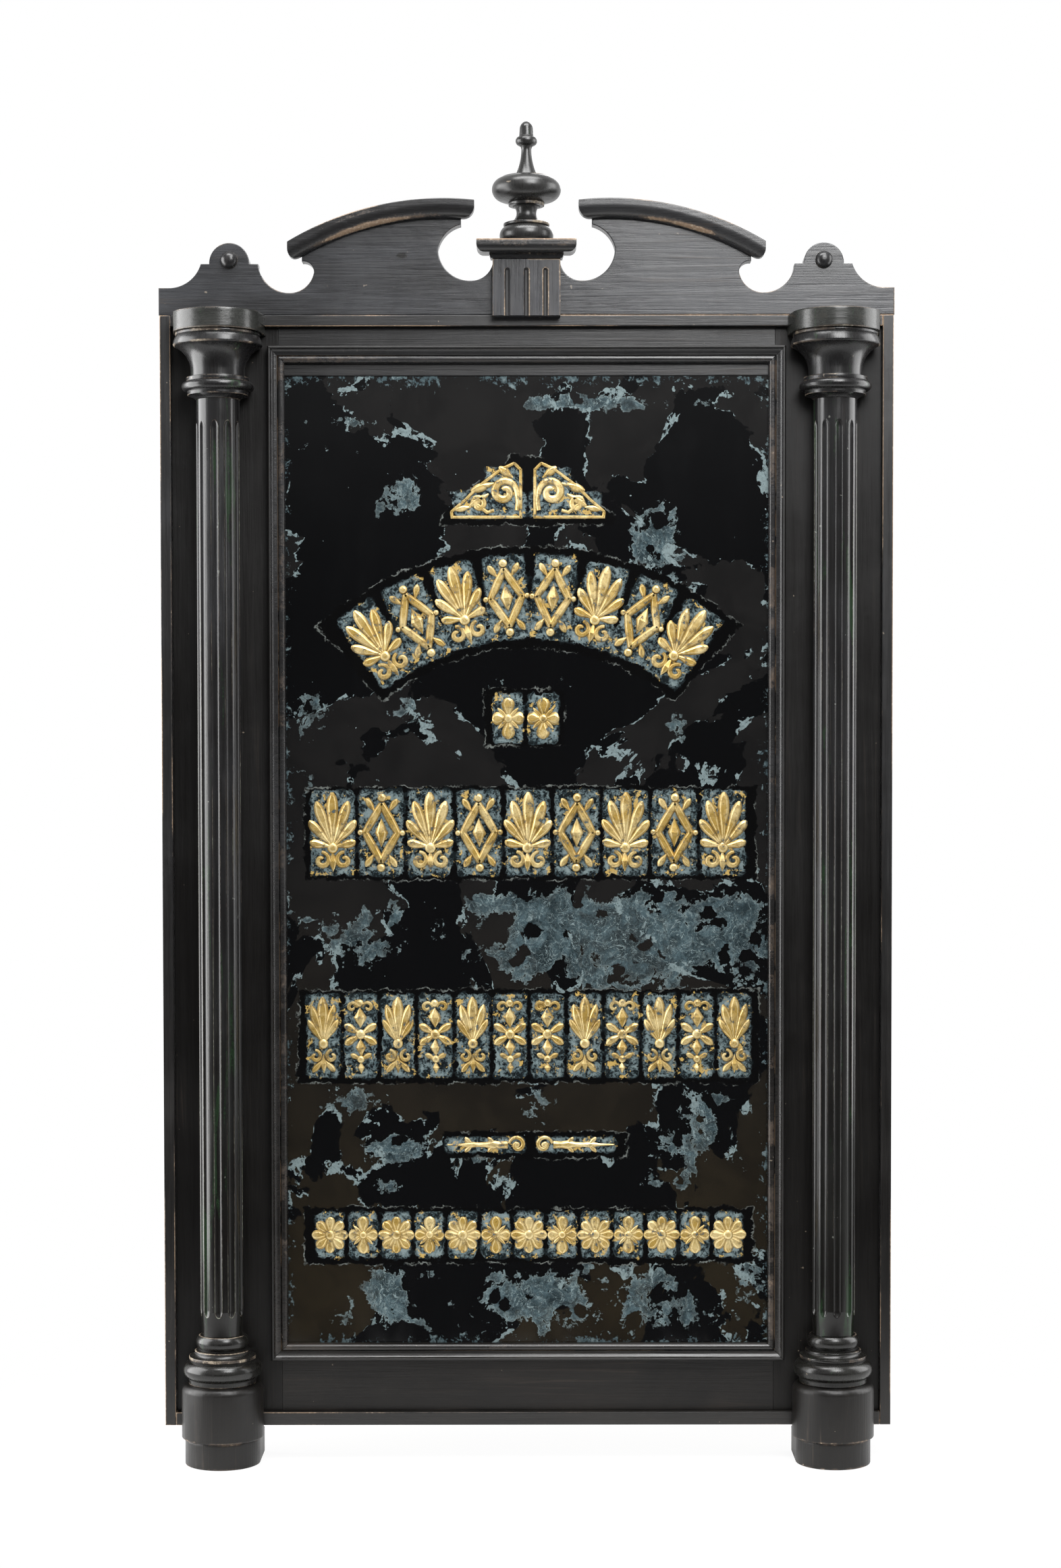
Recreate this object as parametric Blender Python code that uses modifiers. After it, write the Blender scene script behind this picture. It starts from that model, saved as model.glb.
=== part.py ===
# Wall sign: a black case with fluted columns and a shaped crest round a pane of gilded glass.
# Metres, +Z up, front facing -Y. The origin is on the wall, behind the middle of the case's top board, so
# the wall is y = 0. A depth is a distance in front of the wall, so it is minus y.
import math

import bmesh
import bpy
from mathutils import Matrix, Vector

# Clearances
gap = 0.0003
glass_play = 0.0015
hole_play = 0.0003

# Case, a shallow box of boards on edge
case_width = 1.081
case_height = 1.646
case_lift = 0.0514
case_depth = 0.050
case_side_thickness = 0.016
case_top_thickness = 0.016
case_bottom_thickness = 0.019
case_edge_bevel = 0.0012

# Frame of stiles and rails, set back inside the case
frame_setback = 0.012
frame_thickness = 0.024
stile_width = 0.1575
top_rail_width = 0.0435
bottom_rail_width = 0.0926

# Moulding round the glass
moulding_width = 0.025
moulding_height = 0.0165
moulding_lap = 0.010

# Glass, the slat above it and the boards behind it
glass_thickness = 0.006
glass_edge_bevel = 0.0008
filler_height = 0.0274
setting_block_height = 0.003
setting_block_length = 0.040
setting_block_spacing = 0.360
board_joint = 0.0006

# Turn-buttons on the back
button_length = 0.060
button_width = 0.020
button_thickness = 0.008
button_pivot_inset = 0.020
button_edge_distance = 0.018

# Screws
screw_shank_radius = 0.0022
screw_head_radius = 0.0048
screw_head_height = 0.0024
screw_point = 0.004
screw_sides = 8
button_screw_grip = 0.013
hanger_screw_grip = 0.018

# Columns
column_inset = 0.0875
column_forward = 0.028
turned_sides = 24
tenon_radius = 0.010
tenon_length = 0.016

# Abacus
abacus_thickness = 0.0288
abacus_radius = 0.0665
abacus_corner = 0.062
abacus_back = 0.068
abacus_bevel = 0.0008

# Capital
capital_band_height = 0.0042
capital_band_inset = 0.0033
echinus_height = 0.0150
echinus_radius = 0.0653
echinus_lip = 0.0012
bell_height = 0.0460
bell_radius = 0.0395
bell_flare = 0.0075
capital_fillet_height = 0.0060
capital_fillet_radius = 0.0465
astragal_height = 0.0140
astragal_radius = 0.0530
neck_height = 0.0120
neck_fillet_radius = 0.0445
neck_flare = 0.005
turned_quirk = 0.001

# Shaft and its flutes
shaft_radius = 0.032
shaft_foot_radius = 0.028
shaft_foot_height = 0.013
shaft_taper_height = 0.024
flute_count = 10
flute_phase = 4.0
flute_radius = 0.0075
flute_depth = 0.003
flute_tip = 0.014
flute_top_distance = 0.029
flute_bottom_distance = 0.025

# Turned base
base_neck_height = 0.0074
base_neck_radius = 0.050
base_torus_height = 0.0263
base_torus_radius = 0.0585
base_torus_round = 0.011
base_step_height = 0.0171
base_upper_step_radius = 0.041
base_upper_step_shoulder = 0.004
base_lower_step_radius = 0.0495
base_step_hollow = 0.003
base_ring_height = 0.0204
base_ring_radius = 0.039
base_ring_round = 0.005

# Drum and foot
drum_height = 0.0808
drum_radius = 0.0605
drum_shoulder = 0.011
drum_lower_bevel = 0.0015
foot_height = 0.0388
foot_radius = 0.0555
foot_bevel = 0.0015

# Crest board
crest_overhang = 0.0010
crest_thickness = 0.024
crest_end_height = 0.0397
crest_end_flat = 0.0133
ear_inset = 0.1041
ear_radius = 0.0295
ear_centre_height = 0.0761
ear_shoulder_height = 0.0748
ear_shelf_reach = 0.0419
arc_steps = 8

# Bite between the ear and the cornice. Reaches and heights are from its lowest point.
bite_inset = 0.1921
bite_floor_height = 0.0324
bite_mouth_reach = 0.0453
bite_outer_reach = 0.0371
bite_outer_height = 0.0195
bite_inner_reach = 0.0230
bite_inner_height = 0.0076
bite_neck_reach = 0.0367
bite_neck_height = 0.0303
bite_hook_reach = 0.0341
bite_hook_height = 0.0392
bite_lip_height = 0.0461

# Dip between the cornice and the plinth. The scroll's reaches are from the cornice's inner end.
dip_centre = 0.0821
dip_floor_height = 0.0501
dip_outer_reach = 0.0340
dip_outer_height = 0.0136
dip_inner_height = 0.0058
dip_bank_height = 0.0254
scroll_top_height = 0.1322
scroll_throat_reach = 0.0225
scroll_throat_height = 0.1189
scroll_elbow_reach = 0.0338
scroll_elbow_height = 0.0972

# Cornice mouldings on the crest board's face
cornice_radius = 0.4446
cornice_centre_x = 0.1224
cornice_centre_drop = 0.2777
cornice_height = 0.0266
cornice_projection = 0.020
cornice_fillet = 0.008
cornice_quirk = 0.002
cornice_outer_end = 0.3305
cornice_inner_end = 0.0964
cornice_steps = 18

# Plinth
plinth_width = 0.0994
plinth_thickness = 0.018
plinth_rise = 0.0791
plinth_drop = 0.0037
plinth_bevel = 0.0008
plinth_flute_pitch = 0.028
plinth_flute_radius = 0.0042
plinth_flute_depth = 0.003
plinth_flute_top_distance = 0.013
necking_height = 0.0066
necking_lower_step = 0.0028
necking_upper_step = 0.0048
necking_back = 0.015
cap_height = 0.0178
cap_fillet = 0.0073
cap_step = 0.0082
cap_projection = 0.0103
cap_back = 0.011

# Finial
finial_base_height = 0.0313
finial_base_radius = 0.0392
finial_waist_height = 0.0256
finial_waist_radius = 0.0149
finial_bowl_height = 0.037
finial_bowl_radius = 0.0506
finial_shoulder_radius = 0.0387
finial_neck_height = 0.048
finial_neck_radius = 0.0074
finial_ring_height = 0.0136
finial_ring_radius = 0.0159
finial_tip_height = 0.0225
finial_tip_radius = 0.0105
finial_quirk = 0.003
finial_tenon_radius = 0.009
finial_tenon_length = 0.016

# Knobs on the ears
knob_radius = 0.0125
knob_height = 0.011
knob_rise = 0.0803
knob_tenon_radius = 0.004
knob_tenon_length = 0.012
knob_sides = 20

# Hanger plates
hanger_spacing = 0.600
hanger_setback = 0.003
hanger_thickness = 0.003
hanger_bar_length = 0.100
hanger_bar_height = 0.012
hanger_tab_width = 0.032
hanger_tab_rise = 0.038
hanger_eye_radius = 0.0065
hanger_screw_spacing = 0.076

# Glue block behind the crest board
glue_block_size = 0.0225
glue_block_length = 0.460

# Levels and places that follow from the sizes above
case_half = case_width / 2
case_top = case_top_thickness / 2
case_bottom = case_top - case_height
sole_level = case_bottom - case_lift
inner_half = case_half - case_side_thickness
inner_top = case_top - case_top_thickness
inner_bottom = case_bottom + case_bottom_thickness
frame_face = case_depth - frame_setback
frame_back = frame_face - frame_thickness
opening_half = inner_half - stile_width
opening_top = inner_top - top_rail_width
opening_bottom = inner_bottom + bottom_rail_width
pane_half = opening_half - glass_play
pane_back = frame_face - glass_thickness
pane_bottom = opening_bottom + setting_block_height + 2 * gap
pane_top = opening_top - filler_height - 2 * gap
column_x = case_half - column_inset
column_axis = frame_face + column_forward
column_back = frame_face + gap
foot_top = sole_level + foot_height
drum_bottom = foot_top + gap
drum_top = drum_bottom + drum_height
base_bottom = drum_top + gap
base_height = base_neck_height + base_torus_height + base_step_height + base_ring_height
shaft_bottom = base_bottom + base_height + gap
abacus_bottom = case_top - gap - abacus_thickness
capital_height = (capital_band_height + echinus_height + bell_height + capital_fillet_height
                  + astragal_height + neck_height)
capital_bottom = abacus_bottom - gap - capital_height
shaft_top = capital_bottom - gap
shaft_height = shaft_top - shaft_bottom
crest_bottom = case_top + gap
crest_half = case_half + crest_overhang
crest_back = case_depth - crest_thickness
ear_x = crest_half - ear_inset
bite_x = crest_half - bite_inset
cornice_centre_z = crest_bottom - cornice_centre_drop
plinth_half = plinth_width / 2
plinth_front = case_depth + gap + plinth_thickness
plinth_top = crest_bottom + plinth_rise
necking_bottom = plinth_top + gap
cap_bottom = necking_bottom + necking_height + gap
cap_top = cap_bottom + cap_height
cap_front = plinth_front + necking_upper_step + cap_step + cap_projection
finial_depth = (cap_back + cap_front) / 2
finial_bottom = cap_top + gap
button_x = opening_half + button_edge_distance
button_back = frame_back - gap - button_thickness
knob_z = crest_bottom + knob_rise
hanger_top = case_top + hanger_tab_rise
hanger_face = hanger_setback + hanger_thickness
hanger_eye_z = case_top + hanger_tab_rise / 2
hanger_bar_z = case_top - hanger_bar_height / 2

sides = {"left": -1, "right": 1}


def clear_scene():
    for old in list(bpy.data.objects):
        bpy.data.objects.remove(old, do_unlink=True)


def make_collection(name):
    collection = bpy.data.collections.new(name)
    bpy.context.scene.collection.children.link(collection)
    return collection


def make_material(name, colour, roughness, metallic=0.0):
    material = bpy.data.materials.new(name)
    material.use_nodes = True
    shader = material.node_tree.nodes["Principled BSDF"]
    shader.inputs["Base Color"].default_value = (*colour, 1.0)
    shader.inputs["Roughness"].default_value = roughness
    shader.inputs["Metallic"].default_value = metallic
    return material


clear_scene()
sign = make_collection("advertising_sign")
cutters = make_collection("cutters")
ebonised = make_material("ebonised_wood", (0.030, 0.030, 0.033), 0.45)
polished = make_material("polished_black", (0.026, 0.028, 0.028), 0.28)
pine = make_material("old_pine", (0.36, 0.24, 0.13), 0.70)
beech = make_material("beech", (0.42, 0.27, 0.15), 0.60)
black_glass = make_material("blackened_glass", (0.010, 0.011, 0.012), 0.05)
iron = make_material("iron", (0.10, 0.10, 0.10), 0.55, 1.0)


def add_object(name, data, material=None, matrix=Matrix()):
    """Links an object to the sign, or to the cutters where it has no material."""
    item = bpy.data.objects.new(name, data)
    item.matrix_world = matrix
    if material is None:
        cutters.objects.link(item)
        item.hide_render = True
        item.display_type = "WIRE"
    else:
        sign.objects.link(item)
        data.materials.append(material)
    return item


def cut(item, cutter):
    boolean = item.modifiers.new(cutter.name, "BOOLEAN")
    boolean.operation = "DIFFERENCE"
    boolean.solver = "EXACT"
    boolean.object = cutter


def bevel_edges(item, width):
    bevel = item.modifiers.new("edges", "BEVEL")
    bevel.width = width
    bevel.segments = 1
    bevel.limit_method = "ANGLE"
    bevel.angle_limit = math.radians(50)


def add_boxes(name, boxes, material=None):
    """One object of separate boxes, each (low x, high x, back depth, front depth, low z, high z)."""
    mesh = bpy.data.meshes.new(name)
    form = bmesh.new()
    for low_x, high_x, back, front, low_z, high_z in boxes:
        centre = Vector((low_x + high_x, -back - front, low_z + high_z)) / 2
        size = Matrix.Diagonal((high_x - low_x, front - back, high_z - low_z, 1))
        bmesh.ops.create_cube(form, size=1.0, matrix=Matrix.Translation(centre) @ size)
    form.to_mesh(mesh)
    form.free()
    return add_object(name, mesh, material)


def add_rods(name, radius, rods, along="Z", segments=20):
    """A cutter of separate round rods, each (centre, length), lying along Z or Y."""
    mesh = bpy.data.meshes.new(name)
    form = bmesh.new()
    turn = Matrix.Rotation(math.pi / 2, 4, "X") if along == "Y" else Matrix()
    for centre, length in rods:
        bmesh.ops.create_cone(form, cap_ends=True, segments=segments, radius1=radius, radius2=radius,
                              depth=length, matrix=Matrix.Translation(centre) @ turn)
    form.to_mesh(mesh)
    form.free()
    return add_object(name, mesh)


def add_turning(name, profile, material, matrix, steps=turned_sides):
    """Turns a profile of (radius, z) points, given from the top down, about its Z axis."""
    mesh = bpy.data.meshes.new(name)
    mesh.from_pydata([(radius, 0, z) for radius, z in profile],
                     [(i, i + 1) for i in range(len(profile) - 1)], [])
    item = add_object(name, mesh, material, matrix)
    screw = item.modifiers.new("turning", "SCREW")
    screw.axis = "Z"
    screw.angle = math.tau
    screw.steps = steps
    screw.render_steps = steps
    screw.use_merge_vertices = True
    screw.merge_threshold = 0.00001
    screw.use_smooth_shade = True
    return item


def evaluated_mesh(item):
    """The mesh of an object with its modifiers, or of a curve, after which the object is removed."""
    depsgraph = bpy.context.evaluated_depsgraph_get()
    mesh = bpy.data.meshes.new_from_object(item.evaluated_get(depsgraph))
    bpy.data.objects.remove(item, do_unlink=True)
    return mesh


def add_turned_cutter(name, profile, matrices, steps):
    """A cutter of separate turned bodies, one for each matrix."""
    turned = evaluated_mesh(add_turning(name + "_pattern", profile, None, Matrix(), steps))
    form = bmesh.new()
    for matrix in matrices:
        placed = turned.copy()
        placed.transform(matrix)
        form.from_mesh(placed)
        bpy.data.meshes.remove(placed)
    mesh = bpy.data.meshes.new(name)
    form.to_mesh(mesh)
    form.free()
    return add_object(name, mesh)


def add_outline(name, points, thickness, material, matrix):
    """A flat outline, filled, extruded and welded. Its middle plane lies on the matrix's XY plane."""
    curve = bpy.data.curves.new(name, "CURVE")
    curve.dimensions = "2D"
    curve.fill_mode = "BOTH"
    curve.extrude = thickness / 2
    spline = curve.splines.new("POLY")
    spline.points.add(len(points) - 1)
    for point, (x, y) in zip(spline.points, points):
        point.co = (x, y, 0, 1)
    spline.use_cyclic_u = True
    mesh = evaluated_mesh(add_object(name + "_outline", curve))
    form = bmesh.new()
    form.from_mesh(mesh)
    bmesh.ops.remove_doubles(form, verts=form.verts, dist=0.00001)
    bmesh.ops.recalc_face_normals(form, faces=form.faces)
    form.to_mesh(mesh)
    form.free()
    mesh.materials.clear()
    return add_object(name, mesh, material, matrix)


def add_loft(name, loops, material):
    """Joins loops of points that run out along a front and back along a rear, with strips over both ends."""
    form = bmesh.new()
    rings = [[form.verts.new(point) for point in loop] for loop in loops]
    count = len(loops[0])
    for lower, upper in zip(rings, rings[1:]):
        for i in range(count):
            j = (i + 1) % count
            form.faces.new((lower[i], lower[j], upper[j], upper[i]))
    for ring in (rings[0], rings[-1]):
        for i in range(count // 2 - 1):
            form.faces.new((ring[i], ring[i + 1], ring[count - 2 - i], ring[count - 1 - i]))
    bmesh.ops.recalc_face_normals(form, faces=form.faces)
    mesh = bpy.data.meshes.new(name)
    form.to_mesh(mesh)
    form.free()
    return add_object(name, mesh, material)


def arc(first, middle, last, steps=arc_steps):
    """Points on the circle through three points, from just after the first to the last."""
    (ax, az), (bx, bz), (cx, cz) = first, middle, last
    turn = 2 * (ax * (bz - cz) + bx * (cz - az) + cx * (az - bz))
    a2, b2, c2 = ax * ax + az * az, bx * bx + bz * bz, cx * cx + cz * cz
    x = (a2 * (bz - cz) + b2 * (cz - az) + c2 * (az - bz)) / turn
    z = (a2 * (cx - bx) + b2 * (ax - cx) + c2 * (bx - ax)) / turn
    radius = math.hypot(ax - x, az - z)
    start = math.atan2(az - z, ax - x)
    via = (math.atan2(bz - z, bx - x) - start) % math.tau
    sweep = (math.atan2(cz - z, cx - x) - start) % math.tau
    if via > sweep:
        sweep -= math.tau
    angles = [start + sweep * (i + 1) / steps for i in range(steps)]
    return [(x + radius * math.cos(angle), z + radius * math.sin(angle)) for angle in angles]


def facing_front(x, depth, z):
    """Stands a plan or a turning up, its own Z axis to the front."""
    return Matrix.Translation((x, -depth, z)) @ Matrix.Rotation(math.pi / 2, 4, "X")


def facing_back(x, depth, z):
    return Matrix.Translation((x, -depth, z)) @ Matrix.Rotation(-math.pi / 2, 4, "X")


def add_screw(name, x, depth, z, grip):
    """A round-headed screw that points to the front, with the underside of its head at a depth."""
    r, head = screw_head_radius, screw_head_height
    profile = [(0, head), (0.55 * r, 0.9 * head), (r, 0.35 * head), (r, 0), (screw_shank_radius, 0),
               (screw_shank_radius, screw_point - grip), (0, -grip)]
    add_turning(name, profile, iron, facing_back(x, depth, z), screw_sides)


def add_screw_holes(name, places, depths):
    """A cutter of holes through a range of depths, at each (x, z)."""
    back, front = depths
    rods = [((x, -(back + front) / 2, z), front - back) for x, z in places]
    return add_rods(name, screw_shank_radius + hole_play, rods, "Y", 10)


def add_case():
    boards = {
        "left_case_side": (-case_half, -inner_half - gap, case_bottom, case_top),
        "right_case_side": (inner_half + gap, case_half, case_bottom, case_top),
        "case_top_board": (-inner_half, inner_half, inner_top, case_top),
        "case_bottom_board": (-inner_half, inner_half, case_bottom, inner_bottom),
    }
    items = {}
    for name, (low_x, high_x, low_z, high_z) in boards.items():
        items[name] = add_boxes(name, [(low_x, high_x, 0, case_depth, low_z, high_z)], ebonised)
        bevel_edges(items[name], case_edge_bevel)
    return items


def add_frame():
    low, high = inner_bottom + gap, inner_top - gap
    outer, across = inner_half - gap, opening_half - gap
    boards = {
        "left_stile": (-outer, -opening_half, low, high),
        "right_stile": (opening_half, outer, low, high),
        "top_rail": (-across, across, opening_top, high),
        "bottom_rail": (-across, across, low, opening_bottom),
    }
    items = {}
    for name, (low_x, high_x, low_z, high_z) in boards.items():
        items[name] = add_boxes(name, [(low_x, high_x, frame_back, frame_face, low_z, high_z)], ebonised)
    return items


def moulding_profile():
    """Section as (distance in from the outer edge, height over the frame's face)."""
    w, h = moulding_width, moulding_height
    band = [(0, 0), (0, 0.85 * h), (0.07 * w, h), (0.16 * w, h)]
    cove = arc(band[-1], (0.29 * w, 0.70 * h), (0.55 * w, 0.57 * h), 4)
    groove = [(0.57 * w, 0.45 * h), (0.61 * w, 0.62 * h)]
    bead = arc(groove[-1], (0.78 * w, 0.73 * h), (0.95 * w, 0.55 * h), 4)
    return band + cove + groove + bead + [(w, 0.35 * h), (w, 0)]


def add_mouldings():
    """Four mitred lengths. Each is laid out for the bottom and swung round to its side."""
    outer_half = opening_half - moulding_lap + moulding_width
    low = opening_bottom + moulding_lap - moulding_width
    high = opening_top - moulding_lap + moulding_width
    middle = (low + high) / 2
    lengths = {
        "bottom_glass_moulding": (2 * outer_half, 0, low, 0),
        "left_glass_moulding": (high - low, -outer_half, middle, 90),
        "top_glass_moulding": (2 * outer_half, 0, high, 180),
        "right_glass_moulding": (high - low, outer_half, middle, -90),
    }
    lie = Matrix(((0, 0, 1, 0), (0, -1, 0, 0), (1, 0, 0, 0), (0, 0, 0, 1)))
    for name, (length, x, z, angle) in lengths.items():
        swing = Matrix.Rotation(math.radians(angle), 4, "Y")
        place = Matrix.Translation((x, -frame_face - gap, z)) @ swing @ lie
        item = add_outline(name, moulding_profile(), length, ebonised, place)
        for vertex in item.data.vertices:
            vertex.co.z -= math.copysign(vertex.co.x + gap, vertex.co.z)


def add_glass():
    pane = (-pane_half, pane_half, pane_back, frame_face, pane_bottom, pane_top)
    bevel_edges(add_boxes("glass_pane", [pane], black_glass), glass_edge_bevel)
    slat = (-pane_half, pane_half, pane_back, frame_face, pane_top + gap, opening_top - gap)
    add_boxes("top_filler", [slat], ebonised)
    low = opening_bottom + gap
    for side, out in sides.items():
        x, half = out * setting_block_spacing / 2, setting_block_length / 2
        block = (x - half, x + half, pane_back, frame_face - gap, low, low + setting_block_height)
        add_boxes(side + "_setting_block", [block], beech)


def add_backing():
    """Boards across the back. Returns the middle height of each, by its name."""
    names = ("top", "middle", "bottom")
    height = (opening_top - opening_bottom - 2 * gap) / len(names)
    middles = []
    for i, name in enumerate(names):
        high = opening_top - gap - i * height - board_joint / 2
        low = high - height + board_joint
        board = (-pane_half, pane_half, frame_back, pane_back - gap, low, high)
        add_boxes(name + "_backing_board", [board], pine)
        middles.append((high + low) / 2)
    return dict(zip(names, middles))


def add_buttons(heights, stiles):
    """Turn-buttons, each turning on a screw in the stile. A button's origin is on its screw's axis."""
    half = button_width / 2
    reach = button_length - button_pivot_inset - half
    stub = button_pivot_inset - half
    grip = button_thickness + 2 * gap + button_screw_grip - hole_play
    pilot_depths = (frame_back - 0.01, frame_back + button_screw_grip)
    for side, out in sides.items():
        x, inward, outward = out * button_x, -out * reach, out * stub
        end = arc((inward, half), (inward - out * half, 0), (inward, -half))
        tail = arc((outward, -half), (outward + out * half, 0), (outward, half))
        points = [(inward, half)] + end + [(outward, -half)] + tail
        for height, z in heights.items():
            name = f"{side}_{height}_button"
            place = facing_front(x, button_back + button_thickness / 2, z)
            button = add_outline(name, points, button_thickness, beech, place)
            cut(button, add_screw_holes(name + "_hole", [(x, z)], (button_back - 0.01, frame_back)))
            add_screw(name + "_screw", x, button_back - gap, z, grip)
        spots = [(x, z) for z in heights.values()]
        cut(stiles[side], add_screw_holes(side + "_pilot_holes", spots, pilot_depths))


def abacus_outline():
    corner = (abacus_corner, -column_axis - math.sqrt(abacus_radius ** 2 - abacus_corner ** 2))
    other = (-corner[0], corner[1])
    front = arc(other, (0, -column_axis - abacus_radius), corner, 2 * arc_steps)
    return [(-abacus_back, -column_back), other] + front + [(abacus_back, -column_back)]


def capital_profile():
    """From the top down, heights over the capital's own foot."""
    top = capital_height
    echinus_top = top - capital_band_height
    bell_top = echinus_top - echinus_height
    bell_foot = bell_top - bell_height
    astragal_top = bell_foot - capital_fillet_height
    neck_top = astragal_top - astragal_height
    band = echinus_radius - capital_band_inset
    lip = echinus_radius - echinus_lip
    profile = [(0, top + tenon_length), (tenon_radius, top + tenon_length), (tenon_radius, top), (band, top),
               (band, echinus_top), (band - echinus_lip, echinus_top)]
    profile += arc(profile[-1], (echinus_radius - turned_quirk, bell_top + 0.5 * echinus_height),
                   (echinus_radius, bell_top + 0.1 * echinus_height), 4)
    profile += [(lip, bell_top)]
    profile += arc(profile[-1], (bell_radius + bell_flare, bell_top - 0.30 * bell_height),
                   (bell_radius, bell_foot + 0.22 * bell_height), 6)
    profile += [(bell_radius, bell_foot), (capital_fillet_radius, bell_foot),
                (capital_fillet_radius, astragal_top), (capital_fillet_radius - turned_quirk, astragal_top)]
    profile += arc(profile[-1], (astragal_radius, (astragal_top + neck_top) / 2),
                   (neck_fillet_radius + turned_quirk, neck_top), 6)
    profile += [(neck_fillet_radius, neck_top), (neck_fillet_radius, neck_height / 2)]
    profile += arc(profile[-1], (shaft_radius + neck_flare, 0.30 * neck_height), (shaft_radius, 0), 4)
    return profile + [(0, 0)]


def shaft_profile():
    taper_foot = shaft_foot_height
    taper_top = taper_foot + shaft_taper_height
    top = shaft_height
    return [(0, top + tenon_length), (tenon_radius, top + tenon_length), (tenon_radius, top),
            (shaft_radius, top), (shaft_radius, taper_top), (shaft_foot_radius, taper_foot),
            (shaft_foot_radius, 0), (tenon_radius, 0), (tenon_radius, -tenon_length), (0, -tenon_length)]


def base_profile():
    """From the top down, heights over the base's own foot."""
    step_top = base_neck_height + base_torus_height + base_step_height
    torus_top = base_neck_height + base_torus_height
    ring_inner = base_ring_radius - base_ring_round
    step = base_step_height
    torus_inner = base_torus_radius - base_torus_round
    profile = [(0, base_height), (ring_inner, base_height)]
    profile += arc(profile[-1], (base_ring_radius, step_top + 0.5 * base_ring_height),
                   (ring_inner, step_top), 6)
    profile += [(base_upper_step_radius - base_upper_step_shoulder, step_top - 0.08 * step),
                (base_upper_step_radius, step_top - 0.12 * step),
                (base_upper_step_radius, step_top - 0.30 * step)]
    profile += arc(profile[-1], (base_upper_step_radius + base_step_hollow, step_top - 0.50 * step),
                   (base_lower_step_radius, step_top - 0.60 * step), 3)
    profile += [(base_lower_step_radius, step_top - 0.80 * step), (torus_inner, torus_top)]
    profile += arc(profile[-1], (base_torus_radius, base_neck_height + 0.5 * base_torus_height),
                   (base_neck_radius, base_neck_height), 8)
    return profile + [(base_neck_radius, 0), (0, 0)]


def drum_profile():
    inner = drum_radius - drum_shoulder
    low = drum_height - drum_shoulder
    shoulder = arc((inner, drum_height), (inner + 0.707 * drum_shoulder, low + 0.707 * drum_shoulder),
                   (drum_radius, low), 5)
    upper = drum_height + tenon_length
    top = [(0, upper), (tenon_radius, upper), (tenon_radius, drum_height), (inner, drum_height)]
    foot = [(drum_radius, drum_lower_bevel), (drum_radius - drum_lower_bevel, 0), (tenon_radius, 0),
            (tenon_radius, -tenon_length), (0, -tenon_length)]
    return top + shoulder + foot


def flute_cutter(side, out):
    """Round-ended rods sunk into the shaft, the first one turned outward from the front by the phase."""
    low = shaft_bottom + flute_bottom_distance
    high = shaft_top - flute_top_distance
    tip = [(flute_radius * math.sin(a), flute_tip * (1 - math.cos(a)))
           for a in (math.radians(30 * i) for i in range(4))]
    profile = [(r, high - drop) for r, drop in tip] + [(r, low + drop) for r, drop in reversed(tip)]
    reach = shaft_radius - flute_depth + flute_radius
    matrices = []
    for i in range(flute_count):
        angle = out * math.radians(flute_phase) + math.tau * i / flute_count
        x = out * column_x + reach * math.sin(angle)
        matrices.append(Matrix.Translation((x, -column_axis - reach * math.cos(angle), 0)))
    return add_turned_cutter(side + "_flutes", profile, matrices, 12)


def axis_sockets(side, out):
    """Sockets for the tenons on the column's axis. Each runs past the face that it opens in."""
    deep = tenon_length + hole_play
    middles = {"abacus": abacus_bottom, "capital": capital_bottom, "foot": foot_top,
               "base_top": shaft_bottom - gap, "base_foot": base_bottom}
    sockets = {}
    for name, face in middles.items():
        rods = [((out * column_x, -column_axis, face), 2 * deep)]
        sockets[name] = add_rods(f"{side}_{name}_socket", tenon_radius + hole_play, rods)
    return sockets


def add_columns():
    """Both columns. What stands against the frame is planed flat there and notched over the case boards."""
    reach = case_half + 0.1
    behind = add_boxes("space_of_frame", [(-reach, reach, -0.1, column_back, sole_level - 1, case_top + 1)])
    boards = [(-reach, reach, -0.1, case_depth + gap, inner_top - gap, case_top + 0.1),
              (-reach, reach, -0.1, case_depth + gap, case_bottom - gap, inner_bottom + gap)]
    board_space = add_boxes("space_of_case_boards", boards)
    for side, out in sides.items():
        axis = Matrix.Translation((out * column_x, -column_axis, 0))
        sockets = axis_sockets(side, out)

        middle = Matrix.Translation((out * column_x, 0, abacus_bottom + abacus_thickness / 2))
        abacus = add_outline(side + "_abacus", abacus_outline(), abacus_thickness, polished, middle)
        bevel_edges(abacus, abacus_bevel)
        cut(abacus, board_space)
        cut(abacus, sockets["abacus"])

        lift = Matrix.Translation((0, 0, capital_bottom))
        capital = add_turning(side + "_capital", capital_profile(), polished, lift @ axis)
        cut(capital, behind)
        cut(capital, sockets["capital"])

        lift = Matrix.Translation((0, 0, shaft_bottom))
        shaft = add_turning(side + "_shaft", shaft_profile(), polished, lift @ axis)
        cut(shaft, behind)
        cut(shaft, flute_cutter(side, out))

        lift = Matrix.Translation((0, 0, base_bottom))
        base = add_turning(side + "_base", base_profile(), polished, lift @ axis)
        cut(base, behind)
        cut(base, sockets["base_top"])
        cut(base, sockets["base_foot"])

        lift = Matrix.Translation((0, 0, drum_bottom))
        drum = add_turning(side + "_drum", drum_profile(), ebonised, lift @ axis)
        cut(drum, behind)
        cut(drum, board_space)

        plan = [(-foot_radius, 0), (-foot_radius, -column_axis)]
        plan += arc(plan[-1], (0, -column_axis - foot_radius), (foot_radius, -column_axis), 2 * arc_steps)
        plan += [(foot_radius, 0)]
        middle = Matrix.Translation((out * column_x, 0, sole_level + foot_height / 2))
        foot = add_outline(side + "_foot", plan, foot_height, ebonised, middle)
        bevel_edges(foot, foot_bevel)
        cut(foot, sockets["foot"])


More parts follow.
